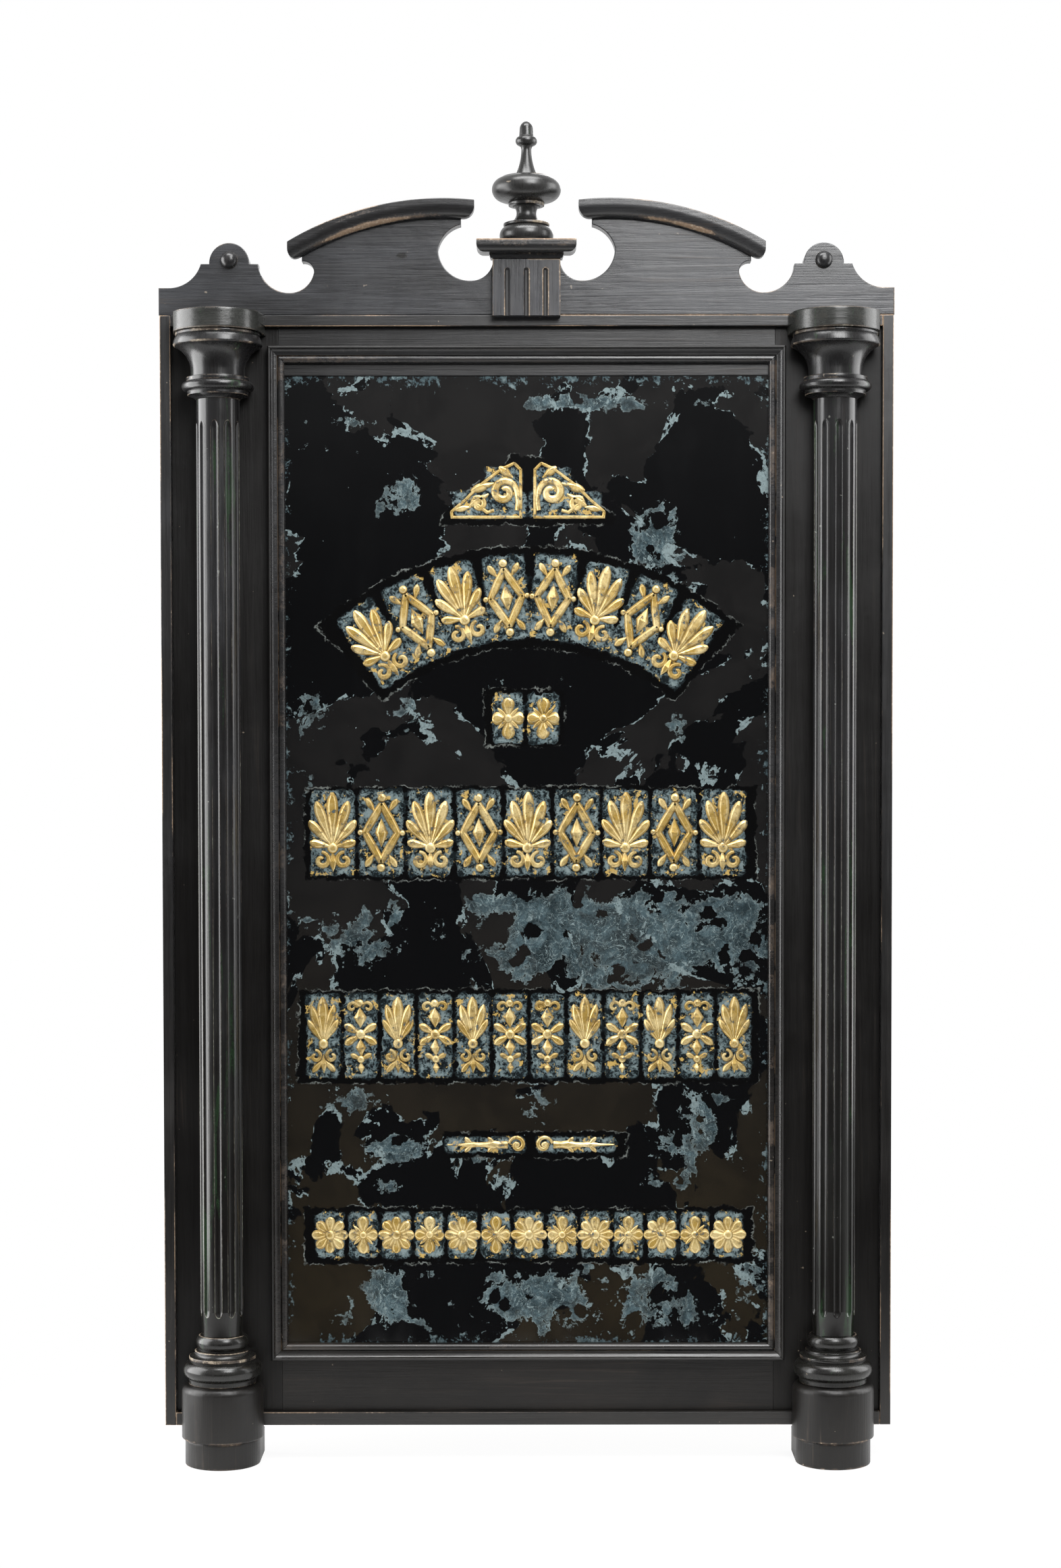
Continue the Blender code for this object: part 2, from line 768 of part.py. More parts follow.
def cornice_height_at(x):
    """Height of the cornice's top edge over a distance from the middle."""
    return cornice_centre_z + math.sqrt(cornice_radius ** 2 - (x - cornice_centre_x) ** 2)


def crest_outline():
    """The right half from the foot of its end to the plinth, then the same on the left."""
    floor = crest_bottom
    end = (crest_half - crest_end_flat, floor + crest_end_height)
    shoulder = floor + ear_shoulder_height
    shelf = ear_x + ear_shelf_reach
    half = [(crest_half, floor), (crest_half, end[1]), end]
    bend = (shelf + 0.30 * (end[0] - shelf), end[1] + 0.35 * (shoulder - end[1]))
    half += arc(end, bend, (shelf, shoulder))
    half += [(ear_x + ear_radius, shoulder)]
    half += arc(half[-1], (ear_x, floor + ear_centre_height + ear_radius), (ear_x - ear_radius, shoulder),
                2 * arc_steps)

    bite_floor = floor + bite_floor_height
    outer, inner = cornice_outer_end, cornice_inner_end
    half += [(bite_x + bite_mouth_reach, shoulder)]
    half += arc(half[-1], (bite_x + bite_outer_reach, bite_floor + bite_outer_height), (bite_x, bite_floor))
    neck = (bite_x - bite_neck_reach, bite_floor + bite_neck_height)
    half += arc(half[-1], (bite_x - bite_inner_reach, bite_floor + bite_inner_height), neck)
    half += arc(neck, (bite_x - bite_hook_reach, bite_floor + bite_hook_height),
                (outer, bite_floor + bite_lip_height), 4)

    half += [(outer, cornice_height_at(outer))]
    centre = (outer + inner) / 2
    half += arc(half[-1], (centre, cornice_height_at(centre)), (inner, cornice_height_at(inner)),
                cornice_steps)

    half += [(inner, floor + scroll_top_height)]
    elbow = (inner + scroll_elbow_reach, floor + scroll_elbow_height)
    half += arc(half[-1], (inner + scroll_throat_reach, floor + scroll_throat_height), elbow)
    dip_floor = floor + dip_floor_height
    half += arc(elbow, (dip_centre + dip_outer_reach, dip_floor + dip_outer_height), (dip_centre, dip_floor))
    bank = (plinth_half, dip_floor + dip_bank_height)
    half += arc(half[-1], (bank[0] + 0.40 * (dip_centre - bank[0]), dip_floor + dip_inner_height), bank)
    half += [(plinth_half, plinth_top)]
    return half + [(-x, z) for x, z in reversed(half)]


def add_crest():
    points = crest_outline()
    crest = add_outline("crest_board", points, crest_thickness, ebonised,
                        facing_front(0, case_depth - crest_thickness / 2, 0))
    deep = knob_tenon_length + hole_play
    sockets = [((out * ear_x, -case_depth, knob_z), 2 * deep) for out in sides.values()]
    cut(crest, add_rods("knob_sockets", knob_tenon_radius + hole_play, sockets, "Y", 12))
    for side, out in sides.items():
        r, h = knob_radius, knob_height
        dome = arc((0, h), (0.62 * r, 0.82 * h), (r, 0.22 * h), 5)
        profile = [(0, h)] + dome + [(0.9 * r, 0), (knob_tenon_radius, 0),
                                     (knob_tenon_radius, -knob_tenon_length), (0, -knob_tenon_length)]
        place = facing_front(out * ear_x, case_depth + gap, knob_z)
        add_turning(side + "_ear_knob", profile, polished, place, knob_sides)


def cornice_loops(out):
    """Level loops of one cornice moulding, from its lower edge up. Its ends return past the board's ends."""
    rise = cornice_height - cornice_fillet
    sweep = [math.radians(22.5 * i) for i in range(5)]
    levels = [(rise * (1 - math.cos(a)), cornice_quirk + (cornice_projection - cornice_quirk) * math.sin(a))
              for a in sweep]
    levels.append((cornice_height, cornice_projection))
    loops = []
    for level, forward in levels:
        radius = cornice_radius - cornice_height + level
        outer = math.acos((cornice_outer_end + forward - cornice_centre_x) / radius)
        inner = math.acos((cornice_inner_end - forward - cornice_centre_x) / radius)
        path = []
        for i in range(cornice_steps + 1):
            angle = outer + (inner - outer) * i / cornice_steps
            path.append((out * (cornice_centre_x + radius * math.cos(angle)),
                         cornice_centre_z + radius * math.sin(angle)))
        front = [(x, -case_depth - gap - forward, z) for x, z in path]
        rear = [(x, -case_depth - gap, z) for x, z in reversed(path)]
        loops.append(front + rear)
    return loops


def add_cornices():
    for side, out in sides.items():
        add_loft(side + "_cornice", cornice_loops(out), ebonised)


def add_plinth():
    low = crest_bottom - plinth_drop
    body = (-plinth_half, plinth_half, case_depth + gap, plinth_front, low, plinth_top)
    block = add_boxes("plinth_block", [body], ebonised)
    bevel_edges(block, plinth_bevel)
    r = plinth_flute_radius
    top = plinth_top - plinth_flute_top_distance
    profile = [(0, top)] + arc((0, top), (0.707 * r, top - 0.293 * r), (r, top - r), 4)
    profile += [(r, low - 0.01), (0, low - 0.01)]
    depth = plinth_front - plinth_flute_depth + r
    places = [Matrix.Translation((i * plinth_flute_pitch, -depth, 0)) for i in (-1, 0, 1)]
    cut(block, add_turned_cutter("plinth_flutes", profile, places, 16))

    def ring(step, back, z):
        half, front = plinth_half + step, plinth_front + step
        return [(-half, -front, z), (half, -front, z), (half, -back, z), (-half, -back, z)]

    necking_top = necking_bottom + necking_height
    necking = add_loft("plinth_necking", [ring(necking_lower_step, necking_back, necking_bottom),
                                          ring(necking_upper_step, necking_back, necking_top)], ebonised)
    rise = cap_height - cap_fillet
    start = necking_upper_step + cap_step
    loops = []
    for i in range(5):
        a = math.radians(22.5 * i)
        level = cap_bottom + rise * (1 - math.cos(a))
        loops.append(ring(start + cap_projection * math.sin(a), cap_back, level))
    loops.append(ring(start + cap_projection, cap_back, cap_top))
    cap = add_loft("plinth_cap", loops, ebonised)
    beyond = plinth_half + 0.1
    corners = add_boxes("space_beside_board",
                        [(-beyond, -plinth_half, -0.1, case_depth, plinth_top, cap_top + 0.01),
                         (plinth_half, beyond, -0.1, case_depth, plinth_top, cap_top + 0.01)])
    cut(necking, corners)
    cut(cap, corners)
    rod = ((0, -finial_depth, cap_top), 2 * (finial_tenon_length + hole_play))
    cut(cap, add_rods("finial_socket", finial_tenon_radius + hole_play, [rod]))


def finial_profile():
    """From the tip down, heights over the plinth cap."""
    waist_foot = finial_base_height
    bowl_foot = waist_foot + finial_waist_height
    shoulder = bowl_foot + finial_bowl_height
    ring_foot = shoulder + finial_neck_height
    tip_foot = ring_foot + finial_ring_height
    top = tip_foot + finial_tip_height
    base, waist, bowl, neck, tip = (finial_base_radius, finial_waist_radius, finial_bowl_radius,
                                    finial_neck_radius, finial_tip_radius)
    profile = [(0, top)]
    profile += arc(profile[-1], (0.70 * tip, tip_foot + 0.80 * finial_tip_height),
                   (0.92 * tip, tip_foot + 0.55 * finial_tip_height), 4)
    profile += [(tip, tip_foot)]
    profile += arc(profile[-1], (finial_ring_radius, (ring_foot + tip_foot) / 2), (1.2 * neck, ring_foot), 5)
    profile += [(neck, ring_foot - 0.10 * finial_neck_height)]
    profile += arc(profile[-1], (1.25 * neck, shoulder + 0.53 * finial_neck_height),
                   (2.3 * neck, shoulder + 0.08 * finial_neck_height), 5)
    profile += [(0.94 * finial_shoulder_radius, shoulder + 0.6 * finial_quirk),
                (finial_shoulder_radius, shoulder)]
    profile += arc(profile[-1], (bowl, shoulder - 0.38 * finial_bowl_height),
                   (0.76 * bowl, bowl_foot + 0.14 * finial_bowl_height), 7)
    profile += [(0.52 * bowl, bowl_foot), (0.52 * bowl, bowl_foot - finial_quirk)]
    profile += arc((0.44 * bowl, bowl_foot - 1.3 * finial_quirk),
                   (waist, waist_foot + 0.42 * finial_waist_height), (1.3 * waist, waist_foot), 5)
    profile += [(0.60 * base, waist_foot - finial_quirk)]
    profile += arc(profile[-1], (base, 0.44 * finial_base_height),
                   (0.94 * base, 0.06 * finial_base_height), 5)
    profile += [(0.94 * base, 0), (finial_tenon_radius, 0), (finial_tenon_radius, -finial_tenon_length),
                (0, -finial_tenon_length)]
    return profile


def add_hangers(top_board):
    """Iron plates let into the back of the top board, each with an eye above it."""
    grip = hanger_thickness + gap + hanger_screw_grip - hole_play
    for side, out in sides.items():
        x, z = out * hanger_spacing / 2, hanger_bar_z
        bar, tab = hanger_bar_length / 2, hanger_tab_width / 2
        low, high = case_top - hanger_bar_height, hanger_top
        points = [(x - bar, low), (x + bar, low), (x + bar, case_top), (x + tab, case_top),
                  (x + tab, high - tab)]
        points += arc(points[-1], (x, high), (x - tab, high - tab))
        points += [(x - tab, case_top), (x - bar, case_top)]
        plate = add_outline(side + "_hanger_plate", points, hanger_thickness, iron,
                            facing_front(0, hanger_setback + hanger_thickness / 2, 0))
        eye = [((x, -hanger_setback - hanger_thickness / 2, hanger_eye_z), 3 * hanger_thickness)]
        cut(plate, add_rods(side + "_hanger_eye", hanger_eye_radius, eye, "Y"))
        apart = out * hanger_screw_spacing / 2
        spots = {"inner": (x - apart, z), "outer": (x + apart, z)}
        deep = hanger_face + hanger_screw_grip
        through = (hanger_setback - 0.01, hanger_face + 0.01)
        cut(plate, add_screw_holes(side + "_hanger_holes", spots.values(), through))
        recess = (x - bar - gap, x + bar + gap, -0.01, hanger_face + gap, low - gap, case_top + 0.01)
        cut(top_board, add_boxes(side + "_hanger_recess", [recess]))
        pilots = add_screw_holes(side + "_hanger_pilot_holes", spots.values(), (hanger_face - 0.001, deep))
        cut(top_board, pilots)
        for end, (screw_x, screw_z) in spots.items():
            add_screw(f"{side}_hanger_{end}_screw", screw_x, hanger_setback - gap, screw_z, grip)


def add_glue_block():
    front, half = crest_back - gap, glue_block_length / 2
    block = (-half, half, front - glue_block_size, front, crest_bottom, crest_bottom + glue_block_size)
    add_boxes("crest_glue_block", [block], pine)


case = add_case()
frame = add_frame()
stiles = {side: frame[side + "_stile"] for side in sides}
add_mouldings()
add_glass()
add_buttons(add_backing(), stiles)
add_columns()
add_crest()
add_cornices()
add_plinth()
add_turning("finial", finial_profile(), polished, Matrix.Translation((0, -finial_depth, finial_bottom)))
add_hangers(case["case_top_board"])
add_glue_block()
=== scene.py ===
# Wall sign: black joinery, turned columns and a pane of blackened, gilded glass. Lengths are in metres.
import math

import bmesh
import bpy
import numpy as np
from mathutils import Matrix, Vector, geometry


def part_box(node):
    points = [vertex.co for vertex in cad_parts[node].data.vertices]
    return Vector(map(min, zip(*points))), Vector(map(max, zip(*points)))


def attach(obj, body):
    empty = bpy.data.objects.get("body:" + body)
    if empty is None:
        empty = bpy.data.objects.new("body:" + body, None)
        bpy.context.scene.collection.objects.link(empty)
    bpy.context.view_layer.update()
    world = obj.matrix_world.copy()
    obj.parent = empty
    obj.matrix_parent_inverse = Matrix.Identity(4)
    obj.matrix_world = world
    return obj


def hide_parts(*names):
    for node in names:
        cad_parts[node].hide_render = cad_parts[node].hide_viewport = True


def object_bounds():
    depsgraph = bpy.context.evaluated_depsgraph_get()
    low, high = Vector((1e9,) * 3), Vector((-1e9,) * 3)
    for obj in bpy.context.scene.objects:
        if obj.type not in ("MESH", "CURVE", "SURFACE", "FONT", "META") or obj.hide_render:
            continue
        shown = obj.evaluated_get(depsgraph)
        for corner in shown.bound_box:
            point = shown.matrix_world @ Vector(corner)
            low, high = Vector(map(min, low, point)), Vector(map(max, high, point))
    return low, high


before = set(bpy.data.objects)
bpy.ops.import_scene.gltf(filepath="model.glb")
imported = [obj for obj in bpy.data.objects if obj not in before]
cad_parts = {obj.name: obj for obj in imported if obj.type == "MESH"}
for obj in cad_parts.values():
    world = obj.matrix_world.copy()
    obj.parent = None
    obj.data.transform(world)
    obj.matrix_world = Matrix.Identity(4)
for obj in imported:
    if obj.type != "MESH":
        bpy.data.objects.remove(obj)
cadBox = [list(corner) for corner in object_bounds()]
body = "sign"
sides = {"left": -1, "right": 1}
gap = 0.0003  # clearance between neighbouring pieces
edge = {"round": 0.0006, "fade": 0.0011}  # rounding of an arris, and how far wear spreads from it


# Node helpers

def setInput(socket, value):
    if isinstance(value, bpy.types.NodeSocket):
        socket.id_data.links.new(value, socket)
    else:
        socket.default_value = value


def addNode(tree, kind, inputs=None, **settings):
    node = tree.nodes.new(kind)
    for key, value in settings.items():
        setattr(node, key, value)
    for key, value in (inputs or {}).items():
        setInput(node.inputs[key], value)
    return node


def nodeFrom(kind, inputs, **settings):  # a node in the tree that its inputs come from
    sockets = [value for value in inputs.values() if isinstance(value, bpy.types.NodeSocket)]
    return addNode(sockets[0].id_data, kind, inputs, **settings)


def calc(operation, first, second=None, third=None, clamp=False):
    inputs = {i: v for i, v in enumerate((first, second, third)) if v is not None}
    return nodeFrom("ShaderNodeMath", inputs, operation=operation, use_clamp=clamp).outputs[0]


def chain(operation, first, *others):  # one operation over any number of values
    for other in others:
        first = calc(operation, first, other)
    return first


def calcVector(operation, first, second=None):
    inputs = {0: first}
    if second is not None:
        inputs["Scale" if operation == "SCALE" else 1] = second
    node = nodeFrom("ShaderNodeVectorMath", inputs, operation=operation)
    return node.outputs["Value" if operation == "LENGTH" else 0]


def ramp(value, low, high, toLow=0.0, toHigh=1.0):  # smooth step from low to high
    inputs = {"Value": value, "From Min": low, "From Max": high, "To Min": toLow, "To Max": toHigh}
    return nodeFrom("ShaderNodeMapRange", inputs, interpolation_type="SMOOTHSTEP").outputs[0]


def blend(factor, first, second):
    first, second = ((*value, 1) if isinstance(value, tuple) else value for value in (first, second))
    inputs = {0: factor, 6: first, 7: second}
    return nodeFrom("ShaderNodeMix", inputs, data_type="RGBA", clamp_factor=True).outputs[2]


def noiseAt(place, scale, detail=3.0, roughness=0.5, distortion=0.0, stretch=(1, 1, 1)):
    vector = nodeFrom("ShaderNodeMapping", {"Vector": place, "Scale": stretch}).outputs[0]
    inputs = {"Vector": vector, "Scale": scale, "Detail": detail, "Roughness": roughness,
              "Distortion": distortion}
    return nodeFrom("ShaderNodeTexNoise", inputs).outputs[0]


def swing(noise, amount):  # noise that swings both ways round nothing
    return calc("MULTIPLY_ADD", noise, 2 * amount, -amount)


def attributeAt(tree, label):
    return addNode(tree, "ShaderNodeAttribute", attribute_name=label).outputs["Fac"]


def heightAt(place):
    return nodeFrom("ShaderNodeSeparateXYZ", {"Vector": place}).outputs["Z"]


def liveSocket(sockets, name=None):  # the one in use, where a node has one for each kind of data
    return [s for s in sockets if s.enabled and name in (None, s.name)][0]


def mirrorRays(path):  # rays that metal and glass send back
    return calc("MAXIMUM", path["Is Glossy Ray"], path["Is Transmission Ray"])


def startMaterial(name):
    material = bpy.data.materials.new(name)
    material.use_nodes = True
    tree = material.node_tree
    shader = tree.nodes["Principled BSDF"]
    place = addNode(tree, "ShaderNodeTexCoord").outputs["Object"]
    return material, tree, shader, place


def addBump(shader, layers):  # layers of (height socket, depth in metres)
    normal = None
    for height, depth in layers:
        inputs = {"Height": height, "Distance": depth, "Strength": 1.0}
        if normal is not None:
            inputs["Normal"] = normal
        normal = nodeFrom("ShaderNodeBump", inputs).outputs[0]
    setInput(shader.inputs["Normal"], normal)


# Finishes

paint = {
    "dark": (0.0042, 0.0037, 0.0034), "light": (0.0135, 0.0136, 0.0146), "low": (0.0140, 0.0118, 0.0100),
    "rubbed": (0.050, 0.037, 0.028), "bare": (0.20, 0.133, 0.082), "pale": (0.42, 0.35, 0.27),
    "green": (0.013, 0.025, 0.013), "dirtAndShade": (0.004, 0.0035, 0.003), "raw": (0.070, 0.046, 0.028),
    "rough": 0.36, "wear": 1.0, "streaks": 0.30, "greenShare": 0.0, "lift": 0.35, "relief": 1.0,
    "chips": 0.3, "knot": None, "shine": 0.5, "paintedLightFoot": -1.75, "paintedLightTop": 0.30, "lowTop": -1.55,
    "lightFoot": -0.65,
}
paintScales = {"broad": 4.5, "clouds": 19, "fibres": 520, "bands": 95, "speckle": 260, "grit": 70,
               "patches": 60, "wear": 16, "chips": 110, "knot": 160}
paintDepths = {"broad": 0.0012, "bands": 0.00034, "fibres": 0.00015, "grit": 0.00014}


def knotAt(place, spot):  # a dark eye with the grain drawn round it
    x, z, size = spot
    offset = calcVector("SUBTRACT", place, (x, 0, z))
    inputs = {"Vector": offset, "Scale": (1.0, 0.0, 1.7)}
    around = nodeFrom("ShaderNodeMapping", inputs, vector_type="VECTOR").outputs[0]
    uneven = swing(noiseAt(place, paintScales["knot"], 3.0), 0.003)
    away = calc("ADD", calcVector("LENGTH", around), uneven)
    return ramp(away, size, 0.35 * size)


def stretchAlong(grain, amount):  # scales that draw a pattern out along the grain
    return tuple(amount if axis == grain else 1 for axis in "XYZ")


def wornEdges(place, look, stretches, speckle, grit, wear):
    # Wear comes in long stretches, broken up by finer noise, and shows bare wood only where it is deepest
    where = noiseAt(place, paintScales["wear"], 4.0, 0.6, 0.0, stretches)
    where = ramp(where, 0.40, 0.60, 0.05, 1.10)
    exposed = chain("MULTIPLY", calc("MAXIMUM", wear, 0.0), look["wear"], where)
    exposed = chain("ADD", exposed, swing(speckle, 0.35), swing(grit, 0.40))
    return ramp(exposed, 0.20, 0.48, 0.0, 0.9), ramp(exposed, 0.46, 0.74)


def paintedWood(name, grain, **changes):
    look, scales = {**paint, **changes}, paintScales
    material, tree, shader, place = startMaterial(name)
    along, stretches = stretchAlong(grain, 0.03), stretchAlong(grain, 0.16)
    wear, raw, high = attributeAt(tree, "wear"), attributeAt(tree, "raw"), heightAt(place)
    broad = noiseAt(place, scales["broad"], 4.0, 0.6, 0.6)
    clouds = noiseAt(place, scales["clouds"], 5.0, 0.6, 0.4, stretches)
    fibres = noiseAt(place, scales["fibres"], 5.0, 0.65, 0.4, along)
    bands = noiseAt(place, scales["bands"], 3.0, 0.6, 1.2, along)
    speckle = noiseAt(place, scales["speckle"], 5.0, 0.7)
    grit = noiseAt(place, scales["grit"], 6.0, 0.66, 0.3)

    # Uneven black, with painted light that raises the tone towards the top, warmer towards the foot, and
    # rubbed brown in streaks
    # Painted light: the tone rises with height, as if lit from above
    paintedTopLight = ramp(high, look["paintedLightFoot"], look["paintedLightTop"], 0.0, look["lift"])
    tone = calc("ADD", ramp(broad, 0.30, 0.72, 0.0, 0.5), paintedTopLight)
    tone = calc("ADD", tone, ramp(clouds, 0.36, 0.70, -0.08, 0.34), clamp=True)
    tone = calc("MULTIPLY", tone, ramp(fibres, 0.25, 0.75, 0.60, 1.30), clamp=True)
    upper = blend(ramp(high, look["lowTop"], look["lightFoot"]), look["low"], look["light"])
    colour = blend(tone, look["dark"], upper)
    rubbed = chain("MULTIPLY", ramp(bands, 0.56, 0.74), ramp(broad, 0.40, 0.70), look["streaks"])
    colour = blend(rubbed, colour, look["rubbed"])
    if look["knot"]:
        colour = blend(knotAt(place, look["knot"]), colour, look["dirtAndShade"])
    if look["greenShare"]:
        patches = noiseAt(place, scales["patches"], 5.0, 0.62, 0.5, (1, 1, 0.07))
        patches = calc("ADD", patches, swing(speckle, 0.11))
        least = 0.70 - 0.25 * look["greenShare"]
        colour = blend(ramp(patches, least, least + 0.07, 0.0, 0.9), colour, look["green"])

    rubbedEdge, bareEdge = wornEdges(place, look, stretches, speckle, grit, wear)
    colour = blend(rubbedEdge, colour, look["rubbed"])
    wood = blend(ramp(speckle, 0.50, 0.72), look["bare"], look["pale"])
    colour = blend(bareEdge, colour, wood)

    # Small chips, painted shade that darkens the hollow corners, and raw wood on the backs
    spots = noiseAt(place, scales["chips"], 2.0, 0.4)
    spots = calc("ADD", spots, ramp(clouds, 0.5, 0.8, 0.0, 0.06))
    colour = blend(ramp(spots, 0.775, 0.80, 0.0, look["chips"]), colour, look["pale"])
    # Painted shade: where the wear mark falls below zero, in hollow corners and flutes, the colour goes
    # towards near black
    paintedCreviceShade = ramp(wear, 0.0, -0.8, 0.0, 0.8)
    colour = blend(paintedCreviceShade, colour, look["dirtAndShade"])
    stained = blend(ramp(clouds, 0.35, 0.68), look["raw"], look["dirtAndShade"])
    unpainted = calc("MULTIPLY", raw, ramp(fibres, 0.3, 0.7, 0.70, 0.95))
    colour = blend(unpainted, colour, stained)
    setInput(shader.inputs["Base Color"], colour)

    rough = calc("ADD", ramp(broad, 0.3, 0.7, look["rough"] - 0.04, look["rough"] + 0.06),
                 ramp(calc("ADD", fibres, bands), 0.7, 1.3, -0.05, 0.06))
    rough = chain("ADD", rough, calc("MULTIPLY", rubbedEdge, 0.16),
                  calc("MULTIPLY", paintedCreviceShade, 0.3))
    setInput(shader.inputs["Roughness"], calc("MULTIPLY_ADD", raw, 0.4, rough))
    shader.inputs["Specular IOR Level"].default_value = look["shine"]
    heights = {"broad": broad, "bands": bands, "fibres": fibres,
               "grit": calc("SUBTRACT", grit, rubbedEdge)}
    addBump(shader, [(heights[key], depth * look["relief"]) for key, depth in paintDepths.items()])
    return material


bareWood = {
    "pine": {"early": (0.33, 0.20, 0.095), "late": (0.16, 0.080, 0.032), "grime": (0.055, 0.036, 0.022)},
    "beech": {"early": (0.36, 0.225, 0.12), "late": (0.22, 0.125, 0.06), "grime": (0.07, 0.045, 0.03)},
}
woodScales = {"drift": 3.4, "sway": 21, "strength": 26, "fibres": 420, "grime": 9.0}


def unpaintedWood(name, kind, rings):
    look, scales = bareWood[kind], woodScales
    material, tree, shader, place = startMaterial(name)
    plank, wear = attributeAt(tree, "plank"), attributeAt(tree, "wear")
    place = calcVector("ADD", place, calcVector("SCALE", (1.37, 0.90, 0.31), plank))
    drift = noiseAt(place, scales["drift"], 2.0, 0.45, 0.0, (0.12, 1, 1))
    sway = noiseAt(place, scales["sway"], 2.0, 0.5, 0.0, (0.10, 1, 1))
    sway = calc("MULTIPLY_ADD", sway, 0.030, heightAt(place))
    phase = calc("MULTIPLY", calc("MULTIPLY_ADD", drift, 0.16, sway), rings)
    strength = noiseAt(place, scales["strength"], 3.0, 0.6, 0.0, (0.06, 1, 1))
    strong = ramp(strength, 0.36, 0.64, 0.15, 1.0)
    line = calc("MULTIPLY", ramp(calc("FRACT", phase), 0.25, 0.95), strong)
    fibres = noiseAt(place, scales["fibres"], 4.0, 0.6, 0.2, (0.03, 1, 1))
    grime = noiseAt(place, scales["grime"], 10.0, 0.78, 0.3, (0.45, 1, 1))
    age = calc("FRACT", calc("MULTIPLY", plank, 0.37))
    colour = blend(calc("MULTIPLY", line, 0.75), look["early"], look["late"])
    colour = blend(ramp(fibres, 0.35, 0.75, 0.0, 0.45), colour, look["late"])
    colour = blend(calc("MULTIPLY", age, 0.35), colour, look["late"])
    colour = blend(ramp(grime, 0.36, 0.70, 0.15, 0.72), colour, look["grime"])
    worn = calc("MULTIPLY", calc("MAXIMUM", wear, 0.0), 0.55)
    setInput(shader.inputs["Base Color"], blend(worn, colour, look["grime"]))
    setInput(shader.inputs["Roughness"], ramp(grime, 0.3, 0.7, 0.78, 0.62))
    addBump(shader, [(fibres, 0.00025), (line, 0.00005), (grime, 0.0004)])
    return material


iron = {"bare": (0.045, 0.042, 0.040), "rust": (0.13, 0.045, 0.018), "blotchScale": 70, "pitScale": 420}


def oldIron(name):
    material, _, shader, place = startMaterial(name)
    blotch = noiseAt(place, iron["blotchScale"], 6.0, 0.65)
    pits = noiseAt(place, iron["pitScale"], 4.0, 0.6)
    rust = ramp(blotch, 0.46, 0.62)
    setInput(shader.inputs["Base Color"], blend(rust, iron["bare"], iron["rust"]))
    setInput(shader.inputs["Metallic"], ramp(blotch, 0.45, 0.60, 0.85, 0.05))
    setInput(shader.inputs["Roughness"], ramp(blotch, 0.4, 0.62, 0.48, 0.86))
    addBump(shader, [(pits, 0.00012), (blotch, 0.0003)])
    return material


glassLook = {
    "deep": (0.0014, 0.0015, 0.0018), "film": (0.0082, 0.0079, 0.0078), "warmFilm": (0.0135, 0.0105, 0.0062),
    "band": (0.0011, 0.0011, 0.0012), "slate": (0.050, 0.078, 0.089), "slatePale": (0.185, 0.235, 0.240),
    "line": (0.115, 0.125, 0.118), "remains": (0.46, 0.31, 0.090),
}
glassScales = {"clouds": 15, "ragged": 75, "fine": 330, "zone": 4.6, "lace": 21, "holes": 27, "threads": 40,
               "wisps": 85, "veil": 42, "bandEdge": 24, "rim": 30, "remains": 52, "dust": 120, "smear": 9,
               "waves": 5}


def warpBy(place, scale, amount):
    inputs = {"Vector": place, "Scale": scale, "Detail": 2.0}
    swirl = nodeFrom("ShaderNodeTexNoise", inputs).outputs["Color"]
    level = calcVector("SUBTRACT", swirl, (0.5, 0.5, 0.5))
    return calcVector("ADD", place, calcVector("SCALE", level, amount))


def blackGround(place, grain):
    # Two blacks, bare and under a brownish film, with a torn pale line where they meet
    look, scales = glassLook, glassScales
    clouds, ragged, fine = grain
    zone = noiseAt(place, scales["zone"], 6.0, 0.55, 0.5)
    zone = calc("ADD", zone, swing(ragged, 0.016))
    film = blend(ramp(heightAt(place), -0.75, -1.45), look["film"], look["warmFilm"])
    film = blend(ramp(clouds, 0.35, 0.65, 0.0, 0.35), film, look["deep"])
    ground = blend(ramp(zone, 0.490, 0.496), look["deep"], film)
    width = ramp(noiseAt(place, scales["lace"], 5.0, 0.66), 0.42, 0.68, -0.004, 0.018)
    width = calc("ADD", width, swing(fine, 0.0025))
    lace = calc("SUBTRACT", calc("ABSOLUTE", calc("SUBTRACT", zone, 0.493)), width)
    lace = calc("MULTIPLY", ramp(lace, 0.0012, -0.0012), ramp(ragged, 0.42, 0.47))
    return ground, lace


